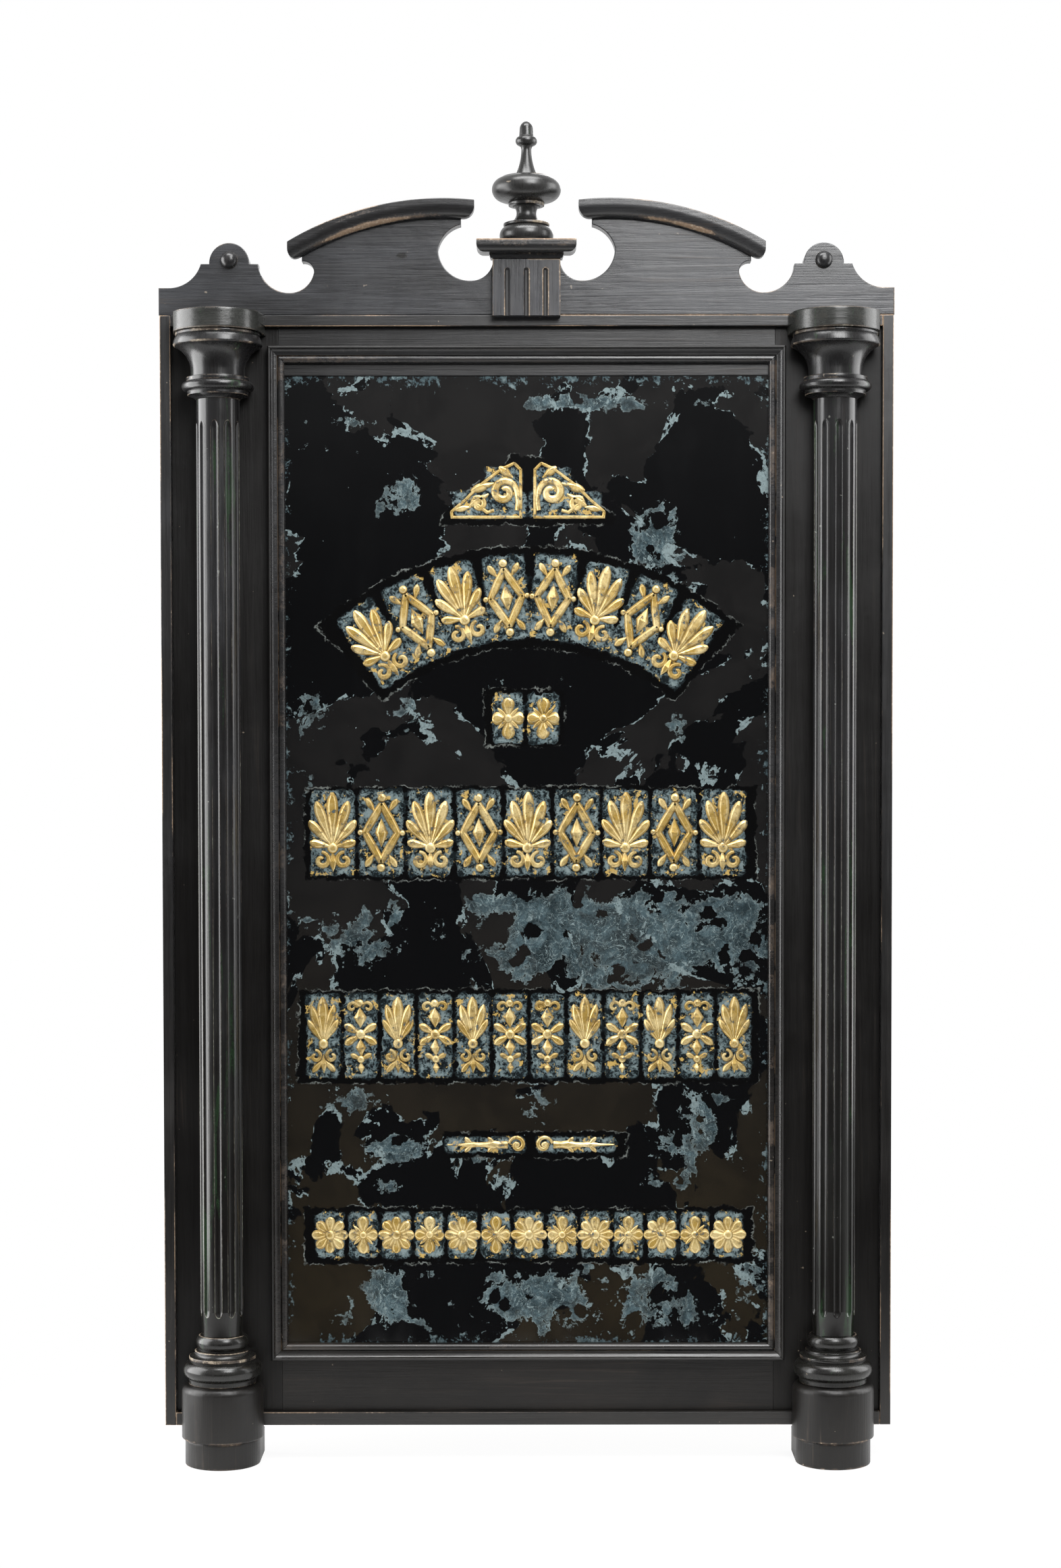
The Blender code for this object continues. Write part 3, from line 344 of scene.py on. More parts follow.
def flakedPlaces(tree, place, grain, ground, lace):
    # Flaked places that show slate blue, eaten by holes and crossed by threads
    look, scales = glassLook, glassScales
    clouds, ragged, fine = grain
    flake, border = attributeAt(tree, "flake"), attributeAt(tree, "border")
    warped = warpBy(warpBy(place, 11.0, 0.055), 55.0, 0.013)
    cells = {"Vector": warped, "Scale": scales["holes"]}
    holes = addNode(tree, "ShaderNodeTexVoronoi", cells, feature="F1").outputs["Distance"]
    threads = noiseAt(warped, scales["threads"], 3.0, 0.55, 1.6)
    threads = calc("ABSOLUTE", swing(threads, 1.0))
    wisps = noiseAt(place, scales["wisps"], 2.0, 0.5, 2.2)
    wisps = calc("ABSOLUTE", swing(wisps, 1.0))
    level = chain("ADD", flake, swing(clouds, 0.85), swing(ragged, 0.38), swing(fine, 0.07))
    eaten = chain("ADD", holes, ramp(level, 0.50, 1.1, 0.0, 0.14), swing(ragged, 0.20),
                  swing(clouds, 0.25))
    patch = calc("MULTIPLY", ramp(level, 0.50, 0.53), ramp(eaten, 0.335, 0.355))
    torn = ramp(calc("ABSOLUTE", calc("SUBTRACT", level, 0.54)), 0.06, 0.015)
    thin = calc("MAXIMUM", ramp(threads, 0.035, 0.006), ramp(wisps, 0.035, 0.006, 0.0, 0.7))
    veil = ramp(noiseAt(warped, scales["veil"], 6.0, 0.62, 0.8), 0.36, 0.64, 0.28, 1.0)
    speckledEdge = chain("ADD", border, swing(ragged, 0.75), swing(fine, 0.35),
                         swing(clouds, 0.5))
    share = chain("MAXIMUM", calc("MULTIPLY", patch, calc("MAXIMUM", veil, thin)), lace,
                  ramp(speckledEdge, 0.50, 0.60, 0.0, 0.85))
    pale = chain("MAXIMUM", calc("MULTIPLY", thin, ramp(level, 0.45, 0.80, 0.0, 0.85)),
                 calc("MULTIPLY", lace, 0.8), calc("MULTIPLY", torn, 0.7),
                 ramp(ragged, 0.52, 0.78))
    slate = blend(pale, look["slate"], look["slatePale"])
    return blend(calc("MULTIPLY", share, ramp(fine, 0.26, 0.60, 0.50, 1.0)), ground, slate)


def agedGlass(name):
    look, scales = glassLook, glassScales
    material, tree, shader, place = startMaterial(name)
    halo, band = attributeAt(tree, "halo"), attributeAt(tree, "band")
    clouds = noiseAt(place, scales["clouds"], 8.0, 0.60, 0.6)
    ragged = noiseAt(place, scales["ragged"], 6.0, 0.66, 0.4)
    fine = noiseAt(place, scales["fine"], 4.0, 0.68, 0.3)

    grain = clouds, ragged, fine
    ground, lace = blackGround(place, grain)
    field = flakedPlaces(tree, place, grain, ground, lace)

    # Black bands behind the rows, with a torn pale line here and there round them
    uneven = swing(noiseAt(place, scales["bandEdge"], 3.0), 0.007)
    reach = chain("ADD", band, swing(ragged, 0.011), uneven)
    rim = ramp(calc("ABSOLUTE", reach), 0.0015, 0.0004)
    rim = calc("MULTIPLY", rim, ramp(noiseAt(place, scales["rim"], 6.0, 0.7), 0.48, 0.62))
    colour = blend(ramp(reach, 0.0006, -0.0006), field, look["band"])
    colour = blend(rim, colour, look["line"])

    # Mottled ground close round each gilt ornament, with remains of leaf, and dust all over
    near = chain("ADD", halo, swing(ragged, 0.013), swing(fine, 0.004))
    near = ramp(near, 0.0010, -0.0010)
    speck = ramp(calc("ADD", fine, swing(ragged, 0.60)), 0.40, 0.58, 0.10, 0.90)
    lit = blend(ramp(ragged, 0.38, 0.68), look["slate"], look["slatePale"])
    colour = blend(calc("MULTIPLY", near, speck), colour, lit)
    remains = noiseAt(place, scales["remains"], 5.0, 0.7, 0.3)
    remains = calc("ADD", remains, swing(fine, 0.12))
    remains = calc("MULTIPLY", near, ramp(remains, 0.575, 0.61, 0.0, 0.85))
    colour = blend(remains, colour, look["remains"])
    dust = noiseAt(place, scales["dust"], 1.0, 0.4)
    colour = blend(ramp(dust, 0.835, 0.85), colour, look["slatePale"])
    setInput(shader.inputs["Base Color"], colour)

    smear = noiseAt(place, scales["smear"], 4.0, 0.6, 1.0, (1, 1, 0.4))
    setInput(shader.inputs["Roughness"], ramp(smear, 0.35, 0.75, 0.04, 0.14))
    shader.inputs["IOR"].default_value = 1.45
    addBump(shader, [(noiseAt(place, scales["waves"], 2.0), 0.0006)])
    return material


gold = {
    "leaf": (0.41, 0.265, 0.060), "paleGoldAndHighlight": (0.82, 0.69, 0.38), "dullAndShade": (0.15, 0.092, 0.026),
    "lost": (0.050, 0.070, 0.076), "sheetScale": 34, "fineScale": 300, "raggedScale": 75,
}


def gilding(name):
    material, tree, shader, place = startMaterial(name)
    sheet = noiseAt(place, gold["sheetScale"], 5.0, 0.6, 0.5)
    fine = noiseAt(place, gold["fineScale"], 5.0, 0.7)
    ragged = noiseAt(place, gold["raggedScale"], 6.0, 0.68, 0.3)
    rise = attributeAt(tree, "wear")  # 0 at the foot of the relief, 1 on its crown
    colour = blend(ramp(sheet, 0.36, 0.70, 0.0, 0.6), gold["leaf"], gold["paleGoldAndHighlight"])
    colour = blend(ramp(ragged, 0.46, 0.68, 0.0, 0.8), colour, gold["dullAndShade"])
    # Painted shade: the flanks of each relief darken towards its foot
    colour = blend(ramp(rise, 0.55, 0.0, 0.0, 0.75), colour, gold["dullAndShade"])
    # Painted highlight: a pale line along the edge of the crown, where the bevel catches the light
    paintedBevelHighlight = ramp(calc("ABSOLUTE", calc("SUBTRACT", rise, 0.80)), 0.20, 0.05, 0.0, 0.65)
    paintedBevelHighlight = calc("MULTIPLY", paintedBevelHighlight, ramp(ragged, 0.62, 0.48))
    colour = blend(paintedBevelHighlight, colour, gold["paleGoldAndHighlight"])
    lost = ramp(calc("ADD", ragged, swing(fine, 0.175)), 0.615, 0.65)
    colour = blend(lost, colour, gold["lost"])
    setInput(shader.inputs["Base Color"], colour)
    setInput(shader.inputs["Metallic"], calc("MULTIPLY_ADD", lost, -0.45, 0.45))
    setInput(shader.inputs["Roughness"], ramp(fine, 0.3, 0.7, 0.24, 0.44))
    addBump(shader, [(sheet, 0.0009), (fine, 0.00012), (lost, -0.00020)])
    return material


finishes = {
    "upright": paintedWood("black_paint_upright_grain", "Z", streaks=0.45, wear=0.85),
    "level": paintedWood("black_paint_level_grain", "X", streaks=0.45, wear=0.9),
    # Painted shade: a darker copy of the black paint for the stiles, which lie in the columns' shade, and
    # darker still towards the foot
    "stile": paintedWood("black_paint_stile_shaded", "Z", light=(0.0095, 0.0090, 0.0088),
                         low=(0.0065, 0.0058, 0.0050),
                         streaks=0.30, wear=0.85, rough=0.38, shine=0.24),
    # Painted shade: a slightly darker, duller copy of the black paint for the bottom rail, low in the frame
    # where less light falls
    "footRail": paintedWood("black_paint_bottom_rail_shaded", "X", light=(0.012, 0.0105, 0.0095), streaks=0.35,
                            wear=0.85, rough=0.40, shine=0.30),
    "crest": paintedWood("black_paint_crest", "X", light=(0.027, 0.028, 0.031), low=(0.027, 0.028, 0.031),
                         streaks=0.5, lift=0.5, wear=0.55, knot=(-0.184, 0.095, 0.011), rough=0.29),
    "moulding": paintedWood("black_paint_moulding", "X", light=(0.020, 0.020, 0.021), wear=1.45, rough=0.24,
                            lift=0.5, relief=0.7),
    "abacus": paintedWood("black_polish_abacus", "X", light=(0.019, 0.020, 0.018), rough=0.25, wear=0.5,
                          bare=(0.13, 0.125, 0.10), pale=(0.36, 0.34, 0.28), streaks=0.5, greenShare=0.3,
                          lift=0.5, relief=0.5),
    "turned": paintedWood("black_polish_turned", "Z", low=(0.013, 0.0135, 0.011), rough=0.27, wear=0.58,
                          bare=(0.17, 0.14, 0.10), streaks=0.3, greenShare=0.35, relief=0.14, shine=0.45),
    "shaft": paintedWood("black_polish_shaft", "Z", low=(0.010, 0.0105, 0.009), rough=0.20, wear=0.75,
                         streaks=0.2, greenShare=0.45, green=(0.010, 0.023, 0.010), bare=(0.08, 0.10, 0.07),
                         pale=(0.26, 0.27, 0.24), relief=0.22, shine=0.45),
    "finial": paintedWood("black_polish_finial", "Z", light=(0.022, 0.022, 0.0215),
                          low=(0.022, 0.022, 0.0215),
                          rough=0.31, wear=0.6, bare=(0.16, 0.13, 0.09), streaks=0.25, greenShare=0.1,
                          relief=0.07, shine=0.5),
    "plinth": paintedWood("black_paint_plinth", "Z", light=(0.024, 0.025, 0.029), wear=1.3, rough=0.30,
                          bare=(0.17, 0.125, 0.085), lift=0.5, streaks=0.8, relief=0.5),
    "foot": paintedWood("black_paint_foot", "Z", light=(0.009, 0.0085, 0.008), low=(0.009, 0.0078, 0.0066),
                        rough=0.35, wear=0.5, lift=0.1, streaks=0.9, relief=1.5, chips=0.9, shine=0.34),
    "pine": unpaintedWood("old_pine_boards", "pine", 92.0),
    "beech": unpaintedWood("old_beech", "beech", 120.0),
    "iron": oldIron("old_iron"),
    "glass": agedGlass("blackened_glass_pane"),
    "gold": gilding("worn_gilding"),
}
print("finishes made:", len(finishes))


# Mesh helpers

def linkedItem(name, data):
    item = bpy.data.objects.new(name, data)
    bpy.context.scene.collection.objects.link(item)
    return item


def finishPiece(name, mesh, finish, nodes, rides=body, sharp=35):
    mesh.materials.clear()
    mesh.materials.append(finishes[finish])
    mesh.shade_smooth()
    mesh.set_sharp_from_angle(angle=math.radians(sharp))
    piece = linkedItem(name, mesh)
    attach(piece, rides)
    if nodes:
        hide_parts(*nodes)
    return piece


def markMesh(mesh, label, values):
    mesh.attributes.new(label, "FLOAT", "POINT").data.foreach_set("value", np.array(values, np.float32))
    return mesh


def rawBehind(mesh, depth):  # unpainted wood on faces that look backwards at this depth
    return markMesh(mesh, "raw", [float(vertex.co.y > depth - 0.00005) for vertex in mesh.vertices])


def takeMesh(form, name):
    mesh = bpy.data.meshes.new(name)
    form.to_mesh(mesh)
    form.free()
    return mesh


def closeUp(mesh, merge=0.0):  # joins doubled points and turns the faces outward
    form = bmesh.new()
    form.from_mesh(mesh)
    if merge:
        bmesh.ops.remove_doubles(form, verts=form.verts, dist=merge)
    bmesh.ops.recalc_face_normals(form, faces=form.faces)
    form.to_mesh(mesh)
    form.free()
    return mesh


def meshFrom(name, points, faces, wear):
    mesh = bpy.data.meshes.new(name)
    mesh.from_pydata([tuple(point) for point in points], [], faces)
    return closeUp(markMesh(mesh, "wear", wear), 0.000002)


def bandFaces(rows, count, closed=True):  # quads between neighbouring rows of this many points
    faces = []
    for row in range(rows - 1):
        a, b = row * count, (row + 1) * count
        for i in range(count if closed else count - 1):
            j = (i + 1) % count
            faces.append((a + i, a + j, b + j, b + i))
    return faces


def endFaces(rows, count):  # the first and the last row as faces
    return [tuple(range(count)), tuple(reversed(range((rows - 1) * count, rows * count)))]


def gridRim(rows, wide):  # the points round the outside of an open grid
    last = (rows - 1) * wide
    rim = list(range(wide)) + [i * wide + wide - 1 for i in range(1, rows)]
    return rim + [last + j for j in range(wide - 2, -1, -1)] + [i * wide for i in range(rows - 2, 0, -1)]


def arc(first, middle, last, steps):
    (ax, az), (bx, bz), (cx, cz) = first, middle, last
    turn = 2 * (ax * (bz - cz) + bx * (cz - az) + cx * (az - bz))
    a2, b2, c2 = ax * ax + az * az, bx * bx + bz * bz, cx * cx + cz * cz
    x = (a2 * (bz - cz) + b2 * (cz - az) + c2 * (az - bz)) / turn
    z = (a2 * (cx - bx) + b2 * (ax - cx) + c2 * (bx - ax)) / turn
    radius = math.hypot(ax - x, az - z)
    start = math.atan2(az - z, ax - x)
    via = (math.atan2(bz - z, bx - x) - start) % math.tau
    sweep = (math.atan2(cz - z, cx - x) - start) % math.tau
    if via > sweep:
        sweep -= math.tau
    angles = [start + sweep * (i + 1) / steps for i in range(steps)]
    return [(x + radius * math.cos(angle), z + radius * math.sin(angle)) for angle in angles]


def boardMesh(name, low, high, worn=1.0, rounding=edge["round"]):
    # A board with rounded arrises, and more points beside them where the wear fades out
    r, fade = rounding, edge["fade"]
    cuts = []
    for a, b in zip(low, high):
        if b - a > 2.2 * (r + fade):
            near = [0, 0.3 * r, r, r + fade]
            cuts.append([a + d for d in near] + [b - d for d in reversed(near)])
        else:
            cuts.append([a, a + 0.3 * r, a + r, (a + b) / 2, b - r, b - 0.3 * r, b])
    points, wear, index, faces = [], [], {}, []

    def point(key):
        if key not in index:
            raw = [cuts[axis][key[axis]] for axis in range(3)]
            inner = [min(max(raw[axis], low[axis] + r), high[axis] - r) for axis in range(3)]
            away = Vector(raw) - Vector(inner)
            index[key] = len(points)
            points.append(Vector(inner) + away.normalized() * r)
            near = sorted(1 - (min(raw[a] - low[a], high[a] - raw[a]) - r) / fade for a in range(3))
            wear.append(worn * min(max(near[1], 0), 1))
        return index[key]

    for axis in range(3):
        u, v = (axis + 1) % 3, (axis + 2) % 3
        for end in (0, len(cuts[axis]) - 1):
            for i in range(len(cuts[u]) - 1):
                for j in range(len(cuts[v]) - 1):
                    corners = []
                    for di, dj in ((0, 0), (1, 0), (1, 1), (0, 1)):
                        key = [0, 0, 0]
                        key[axis], key[u], key[v] = end, i + di, j + dj
                        corners.append(point(tuple(key)))
                    faces.append(corners)
    return meshFrom(name, points, faces, wear)


def plainMesh(item, *others):  # the mesh that the modifiers give, once they have run
    result = bpy.data.meshes.new_from_object(item.evaluated_get(bpy.context.evaluated_depsgraph_get()))
    for old in (*others, item):
        bpy.data.objects.remove(old, do_unlink=True)
    return result


def cutAway(mesh, forms):  # takes each of these forms out of a mesh
    item, cutters = linkedItem("cutting", mesh), []
    for form in forms:
        cutters.append(linkedItem("cutter", takeMesh(form, "cutter")))
        modifier = item.modifiers.new("cut", "BOOLEAN")
        modifier.operation, modifier.solver, modifier.object = "DIFFERENCE", "EXACT", cutters[-1]
    return plainMesh(item, *cutters)


def boxForm(low, high):
    form = bmesh.new()
    middle, size = (Vector(low) + Vector(high)) / 2, Vector(high) - Vector(low)
    bmesh.ops.create_cube(form, matrix=Matrix.Translation(middle) @ Matrix.Diagonal((*size, 1)))
    return form


def rodForm(centre, radius, length):  # runs from front to back
    form = bmesh.new()
    bmesh.ops.create_cone(form, cap_ends=True, segments=48, radius1=radius, radius2=radius, depth=length,
                          matrix=Matrix.Translation(centre) @ frontUp)
    return form


def insetRing(outline, distance):
    # The outline moved inwards, mitred at its corners. It runs counter-clockwise.
    ring = []
    for i, here in enumerate(outline):
        before, after = outline[i - 1], outline[(i + 1) % len(outline)]
        first = Vector((here[0] - before[0], here[1] - before[1])).normalized()
        second = Vector((after[0] - here[0], after[1] - here[1])).normalized()
        normal = Vector((-first.y - second.y, first.x + second.x))
        normal = normal / max(normal.length_squared / 2, 0.5)
        ring.append((here[0] + normal.x * distance, here[1] + normal.y * distance))
    return ring


def plateMesh(name, outline, low, high, place, radius=None, fade=None, levels=()):
    # A plate of any outline with rounded arrises, standing from low to high over the place's XY plane
    r, fade = radius or edge["round"], fade or edge["fade"]
    area = sum(a[0] * b[1] - b[0] * a[1] for a, b in zip(outline, outline[1:] + outline[:1]))
    if area < 0:
        outline = outline[::-1]
    rings = [(r + fade, low, 0), (r, low, 1), (0.3 * r, low + 0.3 * r, 1), (0, low + r, 1)]
    if high - low > 2.5 * (r + fade):
        rings += [(0, z, 0) for z in (low + r + fade, *levels, high - r - fade)]
    rings += [(0, high - r, 1), (0.3 * r, high - 0.3 * r, 1), (r, high, 1), (r + fade, high, 0)]
    points, wear, faces = [], [], bandFaces(len(rings), len(outline))
    for inset, z, value in rings:
        for x, y in insetRing(outline, inset):
            points.append(place @ Vector((x, y, z)))
            wear.append(value)
    flat = [Vector((*point, 0)) for point in insetRing(outline, r + fade)]
    top = (len(rings) - 1) * len(outline)
    for triangle in geometry.tessellate_polygon([flat]):
        faces.append(tuple(reversed(triangle)))
        faces.append(tuple(top + i for i in triangle))
    return meshFrom(name, points, faces, wear)


def dressProfile(profile, radius, fade):
    # Rounds the corners of a turned profile and marks them: 1 on an arris, -1 in a hollow corner, which the
    # paint darkens as painted shade
    result = [(profile[0], 0.0)]
    for before, here, after in zip(profile, profile[1:], profile[2:]):
        a, b, c = Vector(before), Vector(here), Vector(after)
        u, v = b - a, c - b
        lengthIn, lengthOut = u.length, v.length
        u, v = u.normalized(), v.normalized()
        bend = math.acos(max(-1, min(1, u.dot(v))))
        if bend < 0.42:
            result.append((here, 0.0))
            continue
        mark = 1.0 if u.x * v.y - u.y * v.x < 0 else -1.0
        t = min(radius, 0.4 * lengthIn, 0.4 * lengthOut)
        if lengthIn > 2.2 * (t + fade):
            result.append((tuple(b - u * (t + fade)), 0.0))
        result.append((tuple(b - u * t), mark))
        result.append((tuple(b + (v - u) * t * 0.29), mark))
        result.append((tuple(b + v * t), mark))
        if lengthOut > 2.2 * (t + fade):
            result.append((tuple(b + v * (t + fade)), 0.0))
    return result + [(profile[-1], 0.0)]


def turnedMesh(name, profile, place, steps=144, radius=0.0006, fade=0.0018):
    # Turns a profile of (radius, height) points, from the top down, about the place's Z axis
    rows = dressProfile(profile, radius, fade)
    points, wear, faces, rings = [], [], [], []
    for (r, z), mark in rows:
        count = 1 if r < 0.00001 else steps
        rings.append(list(range(len(points), len(points) + count)))
        for i in range(count):
            angle = math.tau * i / steps
            points.append(place @ Vector((r * math.cos(angle), r * math.sin(angle), z)))
            wear.append(mark)
    for upper, lower in zip(rings, rings[1:]):
        for i in range(steps):
            j = (i + 1) % steps
            if len(upper) == 1 and len(lower) > 1:
                faces.append((upper[0], lower[i], lower[j]))
            elif len(lower) == 1 and len(upper) > 1:
                faces.append((upper[i], lower[0], upper[j]))
            elif len(upper) > 1:
                faces.append((upper[i], lower[i], lower[j], upper[j]))
    return meshFrom(name, points, faces, wear)


def planeBack(mesh, depthAt):
    # Presses everything behind a depth forward onto it, as where a turning is planed flat
    for vertex in mesh.vertices:
        vertex.co.y = min(vertex.co.y, -depthAt(vertex.co.z))
    mesh.update()
    return mesh


def startTree(name, inputs):
    tree = bpy.data.node_groups.new(name, "GeometryNodeTree")
    tree.interface.new_socket("Geometry", in_out="INPUT", socket_type="NodeSocketGeometry")
    tree.interface.new_socket("Geometry", in_out="OUTPUT", socket_type="NodeSocketGeometry")
    for label, kind in inputs.items():
        tree.interface.new_socket(label, in_out="INPUT", socket_type="NodeSocket" + kind)
    given = tree.nodes.new("NodeGroupInput").outputs
    return tree, given, tree.nodes.new("NodeGroupOutput").inputs["Geometry"]


def runTree(tree, mesh, values):
    # Evaluates the tree on a mesh with these named values and returns a plain mesh
    item = linkedItem("running", mesh)
    modifier = item.modifiers.new("tree", "NODES")
    modifier.node_group = tree
    for socket in tree.interface.items_tree:
        if socket.in_out == "INPUT" and socket.name in values:
            modifier[socket.identifier] = values[socket.name]
    return plainMesh(item)


def endTree(tree, result, given, shape):  # real geometry with its material, as the export needs it
    real = addNode(tree, "GeometryNodeRealizeInstances", {"Geometry": shape})
    inputs = {"Geometry": real.outputs[0], "Material": given["Finish"]}
    setInput(result, addNode(tree, "GeometryNodeSetMaterial", inputs).outputs[0])
    return tree


frontUp = Matrix.Rotation(math.pi / 2, 4, "X")  # stands a flat pattern up, facing the front

# Case, frame and the boards behind the glass

boards = {  # the finish of each, and how far its arrises are worn
    "left_case_side": ("upright", 0.95), "right_case_side": ("upright", 1.0),
    "case_top_board": ("level", 1.0),
    "case_bottom_board": ("level", 0.8), "left_stile": ("stile", 0.1), "right_stile": ("stile", 0.1),
    "top_rail": ("level", 0.1), "bottom_rail": ("footRail", 0.12), "top_filler": ("level", 0.25),
    "left_setting_block": ("beech", 1.0), "right_setting_block": ("beech", 1.0),
    "top_backing_board": ("pine", 1.0), "middle_backing_board": ("pine", 1.0),
    "bottom_backing_board": ("pine", 1.0), "crest_glue_block": ("pine", 1.0),
}
recess = {"front": -0.0063, "back": 0.010, "foot": -0.0043, "top": 0.018}  # for a hanger, in the top board
recesses = []
for side in sides:
    low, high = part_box(side + "_hanger_plate")
    recesses.append(boxForm((low.x - gap, recess["front"], recess["foot"]),
                            (high.x + gap, recess["back"], recess["top"])))
for number, (node, (finish, worn)) in enumerate(boards.items()):
    low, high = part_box(node)
    mesh = boardMesh(node, low, high, worn, 0.00015 if worn < 0.2 else edge["round"])
    rawBehind(mesh, high.y)
    markMesh(mesh, "plank", [number] * len(mesh.vertices))
    if node == "case_top_board":
        mesh = cutAway(mesh, recesses)
    finishPiece("board_" + node, mesh, finish, [node])
print("boards:", len(boards))

caseFront = -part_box("left_case_side")[0].y
frameFace = -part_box("bottom_rail")[0].y
columnBack = frameFace + gap

# Moulding round the glass

# How worn each moulding is; the right one's extra wear is partly painted highlight, pale lines where its
# faces catch the light from the left
moulding = {"width": 0.025, "height": 0.0165, "arris": (0.0004, 0.0010), "beadWorn": 0.20, "mostWorn": 1.4,
            "worn": {"left": 0.95, "right": 1.3, "top": 1.0, "bottom": 0.8}}


def mouldingSection():
    w, h = moulding["width"], moulding["height"]
    band = [(0, 0), (0, 0.85 * h), (0.07 * w, h), (0.16 * w, h)]
    cove = arc(band[-1], (0.29 * w, 0.70 * h), (0.55 * w, 0.57 * h), 12)
    groove = [(0.57 * w, 0.45 * h), (0.61 * w, 0.62 * h)]
    bead = arc(groove[-1], (0.78 * w, 0.73 * h), (0.95 * w, 0.55 * h), 12)
    return band + cove + groove + bead + [(w, 0.35 * h), (w, 0)]


def addMouldings():
    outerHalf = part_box("right_glass_moulding")[1].x
    low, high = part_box("bottom_glass_moulding")[0].z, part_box("top_glass_moulding")[1].z
    middle = (low + high) / 2
    lengths = {
        "bottom": (2 * outerHalf, 0, low, 0), "left": (high - low, -outerHalf, middle, 90),
        "top": (2 * outerHalf, 0, high, 180), "right": (high - low, outerHalf, middle, -90),
    }
    section = [((x, y), -mark) for (x, y), mark in dressProfile(mouldingSection(), *moulding["arris"])]
    lie = Matrix(((0, 0, 1, 0), (0, -1, 0, 0), (1, 0, 0, 0), (0, 0, 0, 1)))
    for side, (length, x, z, angle) in lengths.items():
        place = Matrix.Translation((x, -frameFace - gap, z))
        place = place @ Matrix.Rotation(math.radians(angle), 4, "Y") @ lie
        points, wear = [], []
        spread = [-1, -0.995, -0.5, 0, 0.5, 0.995, 1]
        for share in spread:
            for (across, rise), mark in section:
                half = length / 2 - across - gap
                points.append(place @ Vector((across, rise, share * half)))
                onBead = abs(across) > 0.62 * moulding["width"] and rise > 0.5 * moulding["height"]
                worn = moulding["worn"][side] * (max(mark, 0) + moulding["beadWorn"] * onBead)
                # A mark below zero in a hollow stays, and the paint darkens it as painted shade
                wear.append(min(worn, moulding["mostWorn"]) + min(mark, 0))
        shape = len(spread), len(section)
        faces = bandFaces(*shape) + endFaces(*shape)
        node = side + "_glass_moulding"
        finishPiece("moulding_" + side, meshFrom(node, points, faces, wear), "moulding", [node], sharp=40)


addMouldings()
print("glass mouldings done")

# Columns

column = {
    "x": (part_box("right_drum")[0].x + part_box("right_drum")[1].x) / 2, "axis": frameFace + 0.028,
    "tenon": 0.010, "tenonLength": 0.016, "shaftRadius": 0.032,
}
capital = {"band": 0.0042, "bandInset": 0.0033, "echinus": 0.0150, "echinusRadius": 0.0653, "lip": 0.0012,
           "bell": 0.0460, "bellRadius": 0.0395, "flare": 0.0075, "fillet": 0.0060, "filletRadius": 0.0465,
           "astragal": 0.0140, "astragalRadius": 0.0530, "neck": 0.0120, "neckRadius": 0.0445,
           "neckFlare": 0.005,
           "quirk": 0.001}


def capitalProfile():
    c = capital
    top = c["band"] + c["echinus"] + c["bell"] + c["fillet"] + c["astragal"] + c["neck"]
    echinusTop = top - c["band"]
    bellTop = echinusTop - c["echinus"]
    bellFoot = bellTop - c["bell"]
    astragalTop = bellFoot - c["fillet"]
    neckTop = astragalTop - c["astragal"]
    radius, band, lip, fillet = (c["echinusRadius"], c["echinusRadius"] - c["bandInset"],
                                 c["echinusRadius"] - c["lip"], c["filletRadius"])
    profile = [(0, top + column["tenonLength"]), (column["tenon"], top + column["tenonLength"]),
               (column["tenon"], top), (band, top), (band, echinusTop), (band - c["lip"], echinusTop)]
    profile += arc(profile[-1], (radius - c["quirk"], bellTop + 0.5 * c["echinus"]),
                   (radius, bellTop + 0.1 * c["echinus"]), 12)
    profile += [(lip, bellTop)]
    profile += arc(profile[-1], (c["bellRadius"] + c["flare"], bellTop - 0.30 * c["bell"]),
                   (c["bellRadius"], bellFoot + 0.22 * c["bell"]), 22)
    profile += [(c["bellRadius"], bellFoot), (fillet, bellFoot), (fillet, astragalTop),
                (fillet - c["quirk"], astragalTop)]
    profile += arc(profile[-1], (c["astragalRadius"], (astragalTop + neckTop) / 2),
                   (c["neckRadius"] + c["quirk"], neckTop), 18)
    profile += [(c["neckRadius"], neckTop), (c["neckRadius"], c["neck"] / 2)]
    profile += arc(profile[-1], (column["shaftRadius"] + c["neckFlare"], 0.30 * c["neck"]),
                   (column["shaftRadius"], 0), 10)
    return profile + [(0, 0)]


base = {"neck": 0.0074, "neckRadius": 0.050, "torus": 0.0263, "torusRadius": 0.0585, "torusRound": 0.011,
        "step": 0.0171, "upperRadius": 0.041, "shoulder": 0.004, "lowerRadius": 0.0495, "hollow": 0.003,
        "ring": 0.0204, "ringRadius": 0.039, "ringRound": 0.005}


def baseProfile():
    b = base
    torusTop = b["neck"] + b["torus"]
    stepTop = torusTop + b["step"]
    top = stepTop + b["ring"]
    inner, step = b["ringRadius"] - b["ringRound"], b["step"]
    profile = [(0, top), (inner, top)]
    profile += arc(profile[-1], (b["ringRadius"], stepTop + 0.5 * b["ring"]), (inner, stepTop), 16)
    profile += [(b["upperRadius"] - b["shoulder"], stepTop - 0.08 * step),
                (b["upperRadius"], stepTop - 0.12 * step), (b["upperRadius"], stepTop - 0.30 * step)]
    profile += arc(profile[-1], (b["upperRadius"] + b["hollow"], stepTop - 0.50 * step),
                   (b["lowerRadius"], stepTop - 0.60 * step), 8)
    profile += [(b["lowerRadius"], stepTop - 0.80 * step), (b["torusRadius"] - b["torusRound"], torusTop)]
    profile += arc(profile[-1], (b["torusRadius"], b["neck"] + 0.5 * b["torus"]),
                   (b["neckRadius"], b["neck"]), 20)
    return profile + [(b["neckRadius"], 0), (0, 0)]


drum = {"height": 0.0808, "radius": 0.0605, "shoulder": 0.011, "bevel": 0.0015}


